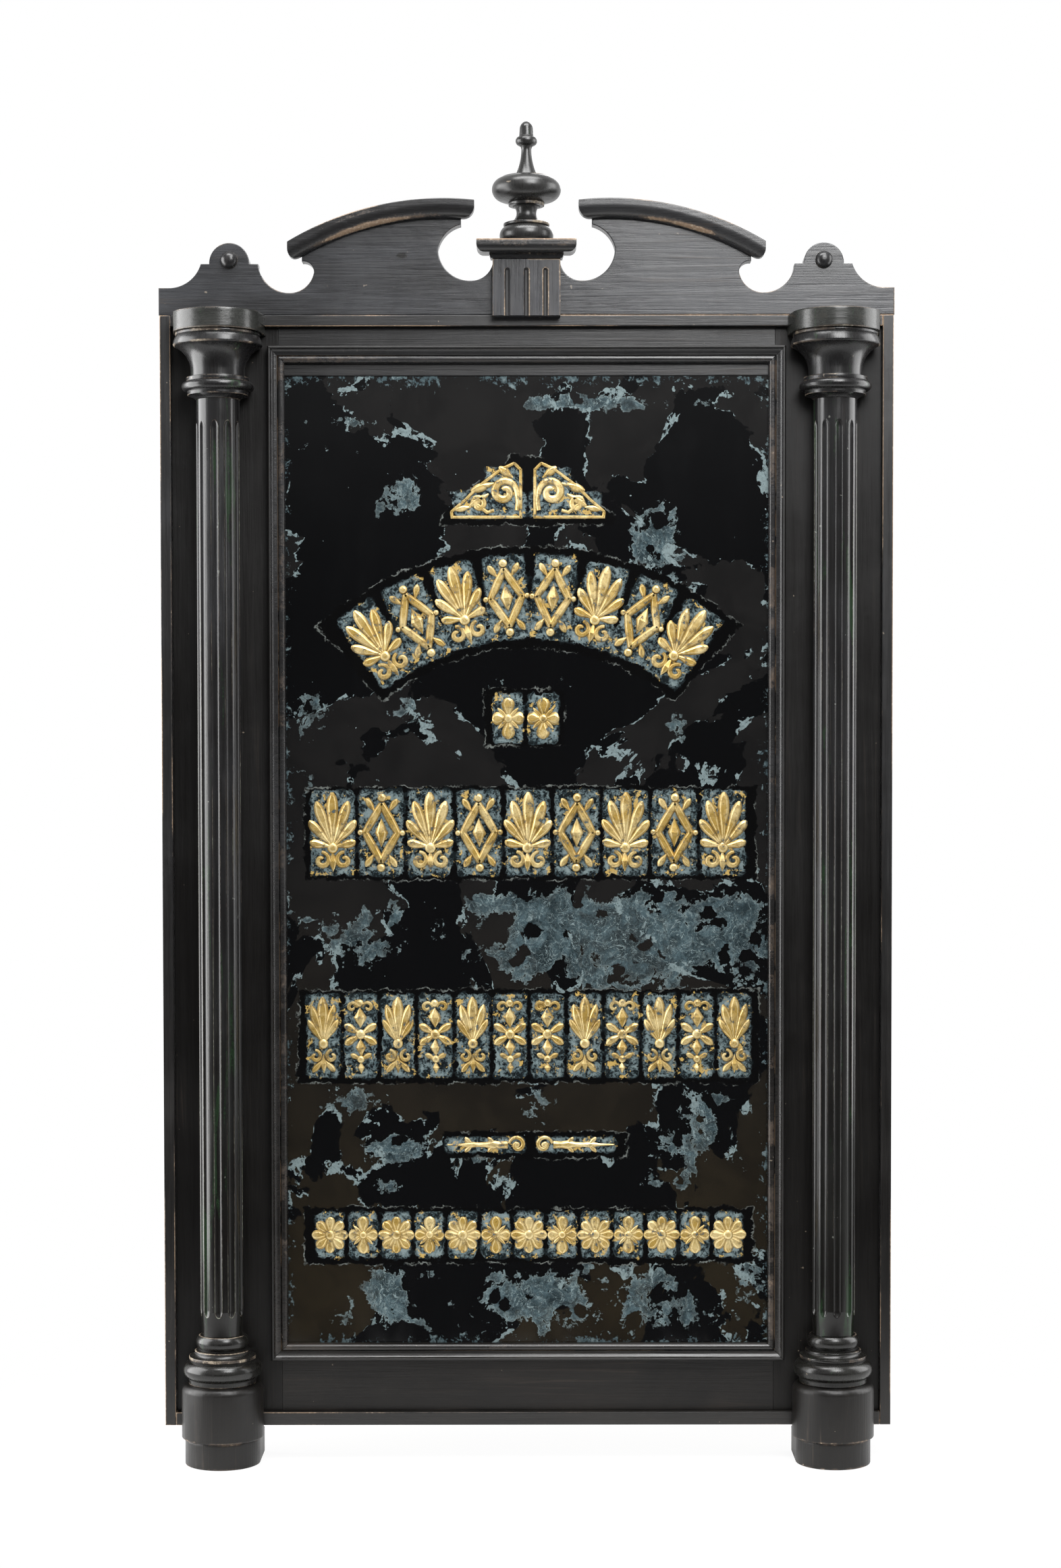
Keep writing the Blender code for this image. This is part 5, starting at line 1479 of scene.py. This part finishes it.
def motifAnthemion(form):
    for angle, length, width in ((0, 0.70, 0.150), (17, 0.62, 0.135), (35, 0.45, 0.12), (60, 0.29, 0.11)):
        for hand in (-1, 1) if angle else (1,):
            leaf(form, 0, -0.19, hand * angle, length, width, bow=hand * 0.0012 * angle, tip=2.2)
    for hand in (-1, 1):
        curl(form, hand * 0.140, -0.345, 0.105, 1.1, 90, 0.07, hand=hand)
    lozenge(form, 0, -0.36, 0.26, 0.12)
    boss(form, 0, -0.19, 0.07)


def motifLattice(form):
    corners = [(0, 0.36), (0.205, 0), (0, -0.36), (-0.205, 0), (0, 0.36)]
    for (ax, ay), (bx, by) in zip(corners, corners[1:]):
        path = [(ax + (bx - ax) * t, ay + (by - ay) * t) for t in (-0.02, 0.25, 0.5, 0.75, 1.02)]
        ridge(form, path, [0.085, 0.10, 0.105, 0.10, 0.085], 0.035)
    lozenge(form, 0, 0, 0.36, 0.17)
    for hand in (-1, 1):
        boss(form, 0, hand * 0.44, 0.055)
        boss(form, hand * 0.265, 0, 0.036)
        for lean in (-1, 1):
            foot = 0 if hand > 0 else 180
            leaf(form, lean * 0.09, hand * 0.27, foot + lean * hand * 34, 0.19, 0.085, tip=1.5)


def motifQuatrefoil(form):
    for angle in (0, 90, 180, 270):
        leaf(form, 0, 0, angle, 0.46 if angle % 180 == 0 else 0.36, 0.30, tip=2.0)
        leaf(form, 0, 0, angle + 45, 0.33, 0.09, tip=1.2)
    boss(form, 0, 0, 0.10, 0.06)


def motifBellflower(form):
    for angle, length, width in ((0, 0.60, 0.15), (13, 0.52, 0.115), (27, 0.36, 0.095)):
        for hand in (-1, 1) if angle else (1,):
            leaf(form, 0, -0.10, hand * angle, length, width, bow=hand * 0.03 * (angle > 0), tip=1.7)
    for hand in (-1, 1):
        curl(form, hand * 0.105, -0.26, 0.08, 1.0, 90, 0.055, hand=hand)
        leaf(form, 0, -0.30, hand * 138, 0.22, 0.08, tip=1.6)
    lozenge(form, 0, -0.36, 0.24, 0.10)
    boss(form, 0, -0.10, 0.065)


def motifPendant(form):
    for y, radius in ((0.42, 0.05), (0.02, 0.065), (-0.30, 0.05)):
        boss(form, 0, y, radius)
    lozenge(form, 0, 0.235, 0.26, 0.17)
    lozenge(form, 0, -0.15, 0.22, 0.14)
    lozenge(form, 0, -0.41, 0.15, 0.09)
    for hand in (-1, 1):
        leaf(form, 0, 0.02, hand * 58, 0.24, 0.10, tip=1.8)
        leaf(form, 0, 0.02, hand * 122, 0.24, 0.10, tip=1.8)
        curl(form, hand * 0.10, 0.37, 0.07, 1.0, 180 if hand > 0 else 0, 0.05, hand=-hand)
        leaf(form, 0, -0.30, hand * 64, 0.15, 0.07, tip=1.6)


def motifRosette(form):
    for i in range(8):
        leaf(form, 0, 0, 45 * i, 0.45, 0.25, tip=2.2)
    boss(form, 0, 0, 0.13, 0.07)


def startForm():
    form = bmesh.new()
    form.verts.layers.float.new("wear")
    return form


def ornamentMesh(form, name):
    bmesh.ops.recalc_face_normals(form, faces=form.faces)
    return takeMesh(form, name)


def makeMotif(name, draw, collection):
    form = startForm()
    draw(form)
    item = bpy.data.objects.new(name, ornamentMesh(form, name))
    collection.objects.link(item)
    return item


def rowTree():
    # Sets motifs in turn from both ends of a row, on an arch when its radius is small
    inputs = {"Count": "Int", "Spread": "Float", "Arch Radius": "Float", "Motif Height": "Float",
              "Motifs": "Collection", "Unevenness": "Float", "Seed": "Int", "Finish": "Material"}
    tree, given, result = startTree("ornamentRow", inputs)

    spacing = calc("DIVIDE", given["Spread"], calc("SUBTRACT", given["Count"], 1.0))
    line = addNode(tree, "GeometryNodeMeshLine", {"Count": given["Count"]})
    index = addNode(tree, "GeometryNodeInputIndex").outputs[0]
    along = calc("SUBTRACT", calc("MULTIPLY", index, spacing), calc("MULTIPLY", given["Spread"], 0.5))
    radius = given["Arch Radius"]
    angle = calc("DIVIDE", along, radius)
    drop = calc("SUBTRACT", calc("MULTIPLY", radius, calc("COSINE", angle)), radius)
    x = calc("MULTIPLY", radius, calc("SINE", angle))
    place = addNode(tree, "ShaderNodeCombineXYZ", {"X": x, "Y": drop}).outputs[0]
    fromEnd = calc("SUBTRACT", calc("SUBTRACT", given["Count"], 1.0), index)
    choice = calc("MINIMUM", index, fromEnd)
    moved = addNode(tree, "GeometryNodeSetPosition", {"Geometry": line.outputs[0], "Position": place})
    inputs = {"Collection": given["Motifs"], "Separate Children": True, "Reset Children": True}
    group = addNode(tree, "GeometryNodeCollectionInfo", inputs)
    wobble = addNode(tree, "FunctionNodeRandomValue", {"Seed": given["Seed"]}, data_type="FLOAT")
    for label, value in (("Min", -1.0), ("Max", 1.0)):
        setInput(liveSocket(wobble.inputs, label), value)
    turn = calc("SUBTRACT", calc("MULTIPLY", liveSocket(wobble.outputs), given["Unevenness"]), angle)
    spin = addNode(tree, "ShaderNodeCombineXYZ", {"Z": turn}).outputs[0]
    inputs = {"Points": moved.outputs[0], "Instance": group.outputs[0], "Pick Instance": True,
              "Instance Index": choice, "Rotation": spin, "Scale": given["Motif Height"]}
    placed = addNode(tree, "GeometryNodeInstanceOnPoints", inputs)
    return endTree(tree, result, given, placed.outputs[0])


motifs = {"anthemion": motifAnthemion, "lattice": motifLattice, "quatrefoil": motifQuatrefoil,
          "bellflower": motifBellflower, "pendant": motifPendant, "rosette": motifRosette}
straight = 900.0  # an arch radius so large that the row is level
giltPlay = 0.0001  # how far the gilding stands off the glass
rows = {  # centre x and z of each row, its motifs, and the values of its tree
    "arched": {"at": (0.004, -0.405), "Count": 8, "Spread": 0.481, "Arch Radius": 0.404,
               "Motif Height": 0.116,
               "motifs": ("anthemion", "lattice")},
    "pair": {"at": (-0.002, -0.585), "Count": 2, "Spread": 0.052, "Arch Radius": straight,
             "Motif Height": 0.066, "motifs": ("quatrefoil",)},
    "upper": {"at": (0.001, -0.7545), "Count": 9, "Spread": 0.580, "Arch Radius": straight,
              "Motif Height": 0.118, "motifs": ("anthemion", "lattice")},
    "lower": {"at": (0.002, -1.057), "Count": 12, "Spread": 0.612, "Arch Radius": straight,
              "Motif Height": 0.116, "motifs": ("bellflower", "pendant")},
    "last": {"at": (0.002, -1.355), "Count": 13, "Spread": 0.594, "Arch Radius": straight,
             "Motif Height": 0.060, "motifs": ("rosette", "quatrefoil")},
}


def addRows():
    tree = rowTree()
    cells = []
    for number, (name, row) in enumerate(rows.items()):
        collection = bpy.data.collections.new("motifs_" + name)
        bpy.context.scene.collection.children.link(collection)
        sources = []
        for i, label in enumerate(row["motifs"]):
            sources.append(makeMotif(f"{name}_{i}_{label}", motifs[label], collection))
        values = {key: row[key] for key in ("Count", "Spread", "Arch Radius", "Motif Height")}
        values |= {"Motifs": collection, "Unevenness": 0.02, "Seed": 11 + number, "Finish": finishes["gold"]}
        mesh = runTree(tree, bpy.data.meshes.new("start"), values)
        for source in sources:
            bpy.data.objects.remove(source, do_unlink=True)
        bpy.data.collections.remove(collection)
        x, z = row["at"]
        mesh.transform(Matrix.Translation((x, paneFace - giltPlay, z)) @ frontUp)
        finishPiece("ornament_" + name, mesh, "gold", [], sharp=15)
        radius, wide = row["Arch Radius"], row["Spread"] / (row["Count"] - 1)
        for i in range(row["Count"]):
            angle = (i * wide - row["Spread"] / 2) / radius
            cells.append((x + radius * math.sin(angle), z + radius * math.cos(angle) - radius, angle,
                          0.5 * wide - 0.005, 0.5 * row["Motif Height"] + 0.003))
    return cells


scrolls = {"lunettes": (0.0015, -0.2475), "dashes": (0.0045, -1.220)}


def addScrolls():
    form = startForm()
    for sign in (-1, 1):
        ox, oz = scrolls["lunettes"]
        corners = [(0.0105, -0.040), (0.0105, 0.030), (0.020, 0.0395), (0.040, 0.030), (0.072, 0.006),
                   (0.092, -0.014), (0.113, -0.032), (0.112, -0.040), (0.0105, -0.040)]
        for a, b in zip(corners, corners[1:]):
            path = [(ox + sign * (a[0] + (b[0] - a[0]) * t), oz + a[1] + (b[1] - a[1]) * t)
                    for t in (-0.02, 0.3, 0.7, 1.02)]
            ridge(form, path, [0.0042, 0.0048, 0.0048, 0.0042], 0.0014)
        tail = [(ox + sign * px, oz + py) for px, py in ((0.016, -0.030), (0.014, -0.018))]
        curl(form, ox + sign * 0.035, oz - 0.003, 0.019, 1.35, 90 + sign * 90, 0.0115, -sign, 0.0022, tail)
        tail = [(ox + sign * px, oz + py) for px, py in ((0.050, -0.030), (0.060, -0.033))]
        curl(form, ox + sign * 0.073, oz - 0.021, 0.0115, 1.1, 90 - sign * 60, 0.0080, sign, 0.0018, tail)
        sprays = ((0.050, 0.010, 108, 0.036, 0.013), (0.058, -0.006, 122, 0.034, 0.012),
                  (0.022, 0.018, 52, 0.026, 0.012), (0.084, -0.025, 100, 0.024, 0.009))
        for px, py, angle, length, width in sprays:
            leaf(form, ox + sign * px, oz + py, sign * angle, length, width, 0.0018, tip=1.4)
        ox, oz = scrolls["dashes"]
        path = [(ox + sign * (0.034 + 0.090 * i / 8), oz) for i in range(9)]
        ridge(form, path, [0.0115 - 0.0012 * i + 0.004 * (i in (2, 5)) for i in range(9)], 0.0022)
        curl(form, ox + sign * 0.020, oz, 0.0125, 1.2, 90 - sign * 80, 0.0065, sign, 0.0018)
        for px in (0.052, 0.086):
            for up in (-1, 1):
                leaf(form, ox + sign * px, oz, sign * (90 + up * 42), 0.016, 0.0065, 0.0014, tip=1.5)
        boss(form, ox + sign * 0.020, oz, 0.0042, 0.002)
    mesh = ornamentMesh(form, "scrolls")
    mesh.transform(Matrix.Translation((0, paneFace - giltPlay, 0)) @ frontUp)
    finishPiece("ornament_scrolls", mesh, "gold", [], sharp=15)
    cells = []
    for sign in (-1, 1):
        ox, oz = scrolls["lunettes"]
        cells.append((ox + sign * 0.055, oz - 0.022, 0.0, 0.052, 0.018))
        cells.append((ox + sign * 0.036, oz - 0.002, 0.0, 0.026, 0.034))
        ox, oz = scrolls["dashes"]
        cells.append((ox + sign * 0.068, oz, 0.0, 0.058, 0.010))
    return cells


cells = addRows() + addScrolls()
print("ornament done")

# The pane: a fine grid that knows how far each point is from the bands and the ornament

bands = [  # level boxes as low x, high x, low z, high z
    (-0.063, 0.0555, -0.6265, -0.5405), (-0.331, 0.341, -0.8245, -0.686), (-0.341, 0.345, -1.128, -0.988),
    (-0.1255, 0.150, -1.241, -1.200), (-0.333, 0.337, -1.3985, -1.314),
]
arch = {"centre": (0.002, -0.809), "inner": 0.329, "outer": 0.479, "angle": math.radians(41)}
peak = [(-0.128, -0.300), (-0.126, -0.284), (-0.070, -0.236), (-0.020, -0.198), (0.020, -0.198),
        (0.072, -0.236), (0.128, -0.284), (0.130, -0.300)]
flakes = [  # x, z, half width, half height and strength of a flaked patch
    (-0.27, -0.145, 0.10, 0.014, 0.55), (-0.28, -0.19, 0.07, 0.014, 0.45), (0.11, -0.118, 0.16, 0.016, 0.75),
    (-0.19, -0.268, 0.05, 0.035, 0.55), (-0.09, -0.36, 0.06, 0.016, 0.60), (0.19, -0.34, 0.05, 0.075, 0.80),
    (0.16, -0.40, 0.05, 0.045, 0.75), (0.20, -0.275, 0.035, 0.020, 0.60),
    (-0.175, -0.585, 0.055, 0.030, 0.55),
    (-0.32, -0.58, 0.035, 0.12, 0.55), (0.06, -0.51, 0.05, 0.05, 0.40), (0.22, -0.60, 0.02, 0.035, 0.55),
    (-0.10, -0.53, 0.08, 0.02, 0.35), (0.15, -0.655, 0.02, 0.02, 0.60), (-0.27, -0.90, 0.09, 0.055, 0.72),
    (0.14, -0.91, 0.22, 0.075, 0.98), (0.30, -0.90, 0.08, 0.080, 0.90), (-0.02, -0.86, 0.12, 0.020, 0.75),
    (-0.25, -1.155, 0.09, 0.022, 0.62), (0.02, -1.155, 0.045, 0.030, 0.55), (0.25, -1.20, 0.06, 0.080, 0.62),
    (-0.20, -1.225, 0.05, 0.025, 0.62), (-0.08, -1.235, 0.05, 0.018, 0.60), (0.21, -1.275, 0.05, 0.028, 0.62),
    (-0.20, -1.285, 0.04, 0.018, 0.50), (-0.22, -1.445, 0.09, 0.050, 0.66), (0.00, -1.450, 0.10, 0.055, 0.74),
    (0.20, -1.455, 0.12, 0.050, 0.68), (0.31, -1.43, 0.05, 0.06, 0.60), (-0.355, -0.872, 0.020, 0.005, 0.85),
    (-0.325, -0.884, 0.020, 0.006, 0.85), (-0.295, -0.899, 0.020, 0.006, 0.85),
    (-0.262, -0.917, 0.022, 0.008, 0.9),
]


def boxDistance(x, z, halfX, halfZ):
    dx, dz = np.abs(x) - halfX, np.abs(z) - halfZ
    return np.hypot(np.maximum(dx, 0), np.maximum(dz, 0)) + np.minimum(np.maximum(dx, dz), 0)


def polygonDistance(x, z, corners):
    best, inside = np.full(x.shape, 9.0), np.zeros(x.shape, bool)
    for (ax, az), (bx, bz) in zip(corners, corners[1:] + corners[:1]):
        ex, ez = bx - ax, bz - az
        t = np.clip(((x - ax) * ex + (z - az) * ez) / (ex * ex + ez * ez), 0, 1)
        best = np.minimum(best, np.hypot(x - ax - t * ex, z - az - t * ez))
        if abs(ez) > 1e-9:
            inside ^= ((az > z) != (bz > z)) & (x < ex * (z - az) / ez + ax)
    return np.where(inside, -best, best)


pane = {"rim": 0.0008, "margin": 0.003, "across": 214, "up": 424, "border": 0.024, "haloInset": 0.006,
        "haloReach": 0.008}


def gridLine(low, high, count):
    inner = np.linspace(low + pane["margin"], high - pane["margin"], count)
    return np.concatenate(([low + pane["rim"]], inner, [high - pane["rim"]]))


def bandField(x, z):  # distance from the black bands, below zero inside them
    band = np.full(x.shape, 9.0)
    for lowX, highX, lowZ, highZ in bands:
        band = np.minimum(band, boxDistance(x - (lowX + highX) / 2, z - (lowZ + highZ) / 2,
                                            (highX - lowX) / 2, (highZ - lowZ) / 2))
    fromX, fromZ = x - arch["centre"][0], z - arch["centre"][1]
    reach, angle = np.hypot(fromX, fromZ), np.arctan2(fromX, fromZ)
    middle, halfRing = (arch["inner"] + arch["outer"]) / 2, (arch["outer"] - arch["inner"]) / 2
    band = np.minimum(band, boxDistance(angle * middle, reach - middle, arch["angle"] * middle, halfRing))
    return np.minimum(band, polygonDistance(x, z, peak))


def haloField(x, z):  # distance from the gilt ornament
    halo = np.full(x.shape, 9.0)
    for cx, cz, turn, halfX, halfZ in cells:
        dx, dz = x - cx, z - cz
        u = dx * math.cos(turn) - dz * math.sin(turn)
        v = dx * math.sin(turn) + dz * math.cos(turn)
        inset, reach = pane["haloInset"], pane["haloReach"]
        halo = np.minimum(halo, boxDistance(u, v, halfX - inset, halfZ - inset) - reach)
    return halo


def flakeField(x, z):
    flake = np.zeros(x.shape)
    for cx, cz, halfX, halfZ, strength in flakes:
        away = ((x - cx) / halfX) ** 2 + ((z - cz) / halfZ) ** 2
        flake = np.maximum(flake, strength * np.exp(-away * 0.8))
    return flake


def borderField(x, z):
    fromEdge = np.minimum(np.minimum(x - paneLow.x, paneHigh.x - x),
                          np.minimum(z - paneLow.z, paneHigh.z - z))
    return 0.50 * np.exp(-(np.maximum(fromEdge, 0) / pane["border"]) ** 2)


def addPane():
    rim = pane["rim"]
    xs, zs = gridLine(paneLow.x, paneHigh.x, pane["across"]), gridLine(paneLow.z, paneHigh.z, pane["up"])
    gridX, gridZ = np.meshgrid(xs, zs)
    x, z = gridX.ravel(), gridZ.ravel()
    points = [(a, paneFace, b) for a, b in zip(x, z)]
    faces, loop = bandFaces(len(zs), len(xs), closed=False), gridRim(len(zs), len(xs))
    start, count = len(points), len(loop)

    # The edge goes round in two rings, out from the rounded rim and back to the pane's back
    centreX, centreZ = (paneLow.x + paneHigh.x) / 2, (paneLow.z + paneHigh.z) / 2
    halfX, halfZ = paneHigh.x - centreX, paneHigh.z - centreZ
    for depth in (paneFace + rim, paneHigh.y):
        for i in loop:
            px, _, pz = points[i]
            ex = centreX + math.copysign(halfX, px - centreX) if abs(px - centreX) > halfX - 1.5 * rim else px
            ez = centreZ + math.copysign(halfZ, pz - centreZ) if abs(pz - centreZ) > halfZ - 1.5 * rim else pz
            points.append((ex, depth, ez))
    for ring, a in enumerate((loop, range(start, start + count))):
        b = start + ring * count
        for i in range(count):
            j = (i + 1) % count
            faces.append((a[i], b + i, b + j, a[j]))
    faces.append(tuple(range(start + count, start + 2 * count)))
    mesh = bpy.data.meshes.new("glass_pane")
    mesh.from_pydata(points, [], faces)
    fields = {"band": (bandField, 9.0), "halo": (haloField, 9.0), "flake": (flakeField, 0.0),
              "border": (borderField, 0.0)}
    for label, (field, onEdge) in fields.items():
        markMesh(mesh, label, np.concatenate((field(x, z), np.full(2 * count, onEdge))))
    finishPiece("pane_of_glass", closeUp(mesh), "glass", ["glass_pane"], sharp=20)


addPane()
print("pane done")

# Floor, room, lights and camera

studio = {
    "floor": (0.86, 0.86, 0.855), "floorFront": -0.85, "floorSize": 3.0, "floorGlow": 0.90, "room": 0.42,
    "dark": 0.08, "upper": 0.75,
}
lights = {  # the place, aim, width, height and power of each panel
    "left_panel": ((-2.0, -0.10, -0.5), (-0.3, 0, -0.6), 1.6, 2.6, 96.0),
    "right_panel": ((2.0, 0.10, -0.2), (0.3, 0, -0.4), 1.2, 2.4, 42.0),
    "high_panel": ((0.70, -2.2, 1.34), (0.22, 0, -0.3), 1.25, 1.75, 96.0),
    "top_panel": ((0.0, -0.9, 2.2), (0, 0, -0.6), 2.4, 1.0, 95.0),
    "back_panel": ((0.6, 3.2, 1.6), (0, 0, -0.6), 1.6, 1.6, 30.0),
}
view = {  # lens, frame and middle in pixels of the photograph, and the tilt in degrees
    "lens": 4152.494, "width": 1572, "middle": (1284.84, 1162), "place": (0.005, -4.200, -0.6663),
    "tilt": 1.915, "lean": 0.0012,
}


def addStage():
    level = cadBox[0][2]
    material = bpy.data.materials.new("pale_studio")
    material.use_nodes = True
    tree = material.node_tree
    shader = tree.nodes["Principled BSDF"]
    shader.inputs["Base Color"].default_value = (*studio["floor"], 1)
    shader.inputs["Roughness"].default_value = 0.9
    path = addNode(tree, "ShaderNodeLightPath").outputs
    place = addNode(tree, "ShaderNodeTexCoord").outputs["Object"]
    across = addNode(tree, "ShaderNodeMapping", {"Vector": place, "Scale": (0.7, 1, 0)}).outputs[0]
    away = calcVector("LENGTH", across)
    share = ramp(away, 0.35, 0.80, studio["floorGlow"], 1.0)  # the shadow shows only near the object
    # Painted shadow: what metal and glass see of the floor's glow is dimmed near the object, as if the object
    # shaded it
    mirroredWithPaintedShadow = calc("MULTIPLY", mirrorRays(path), ramp(away, 0.25, 1.0, 0.35, 1.0))
    seen = calc("MAXIMUM", path["Is Camera Ray"], mirroredWithPaintedShadow)
    glow = addNode(tree, "ShaderNodeEmission", {"Color": (1, 1, 1, 1), "Strength": 1.0}).outputs[0]
    inputs = {0: calc("MULTIPLY", seen, share), 1: shader.outputs[0], 2: glow}
    mixed = addNode(tree, "ShaderNodeMixShader", inputs)
    setInput(tree.nodes["Material Output"].inputs["Surface"], mixed.outputs[0])
    wide, front = studio["floorSize"], studio["floorFront"]
    corners = [(-wide, front, level), (wide, front, level), (wide, wide, level), (-wide, wide, level)]
    mesh = bpy.data.meshes.new("floor")
    mesh.from_pydata(corners, [], [(0, 1, 2, 3)])
    mesh.materials.append(material)
    linkedItem("floor", mesh)


def addLight(name, place, aim, width, height, power):
    data = bpy.data.lights.new(name, "AREA")
    data.shape, data.size, data.size_y, data.energy = "RECTANGLE", width, height, power
    lamp = linkedItem(name, data)
    lamp.location = place
    lamp.rotation_euler = (Vector(aim) - Vector(place)).to_track_quat("-Z", "Y").to_euler()
    lamp.visible_camera = False


def addCamera():
    data = bpy.data.cameras.new("camera")
    camera = linkedItem("camera", data)
    data.sensor_fit, data.sensor_width = "HORIZONTAL", 36
    data.lens = view["lens"] / view["width"] * data.sensor_width
    data.shift_y = (view["middle"][0] - view["middle"][1]) / view["width"]
    data.clip_end = 60
    camera.location = view["place"]
    camera.rotation_euler = (math.radians(90 - view["tilt"]), view["lean"], 0)
    bpy.context.scene.camera = camera


def addWorld():
    # A pale room, dark in front below head height so that the pane stays black, and white behind the object
    world = bpy.data.worlds.new("studio")
    world.use_nodes = True
    tree = world.node_tree
    path = addNode(tree, "ShaderNodeLightPath").outputs
    direction = addNode(tree, "ShaderNodeTexCoord").outputs["Generated"]
    axes = addNode(tree, "ShaderNodeSeparateXYZ", {"Vector": direction}).outputs
    inFront = ramp(axes["Y"], -0.50, -0.88)
    ahead = ramp(axes["Z"], 0.05, 0.30, studio["dark"], studio["upper"])
    room = calc("MULTIPLY_ADD", inFront, calc("SUBTRACT", ahead, studio["room"]), studio["room"])
    behind = calc("MULTIPLY", mirrorRays(path), ramp(axes["Y"], 0.0, 0.3))
    white = calc("MAXIMUM", path["Is Camera Ray"], behind)
    shade = calc("ADD", room, calc("MULTIPLY", white, calc("SUBTRACT", 1.0, room)))
    background = tree.nodes["Background"]
    background.inputs["Color"].default_value = (1, 1, 1, 1)
    setInput(background.inputs["Strength"], shade)
    bpy.context.scene.world = world


addStage()
for name, settings in lights.items():
    addLight(name, *settings)
addWorld()
bpy.context.scene.view_settings.view_transform = "Standard"
addCamera()
print("studio done")
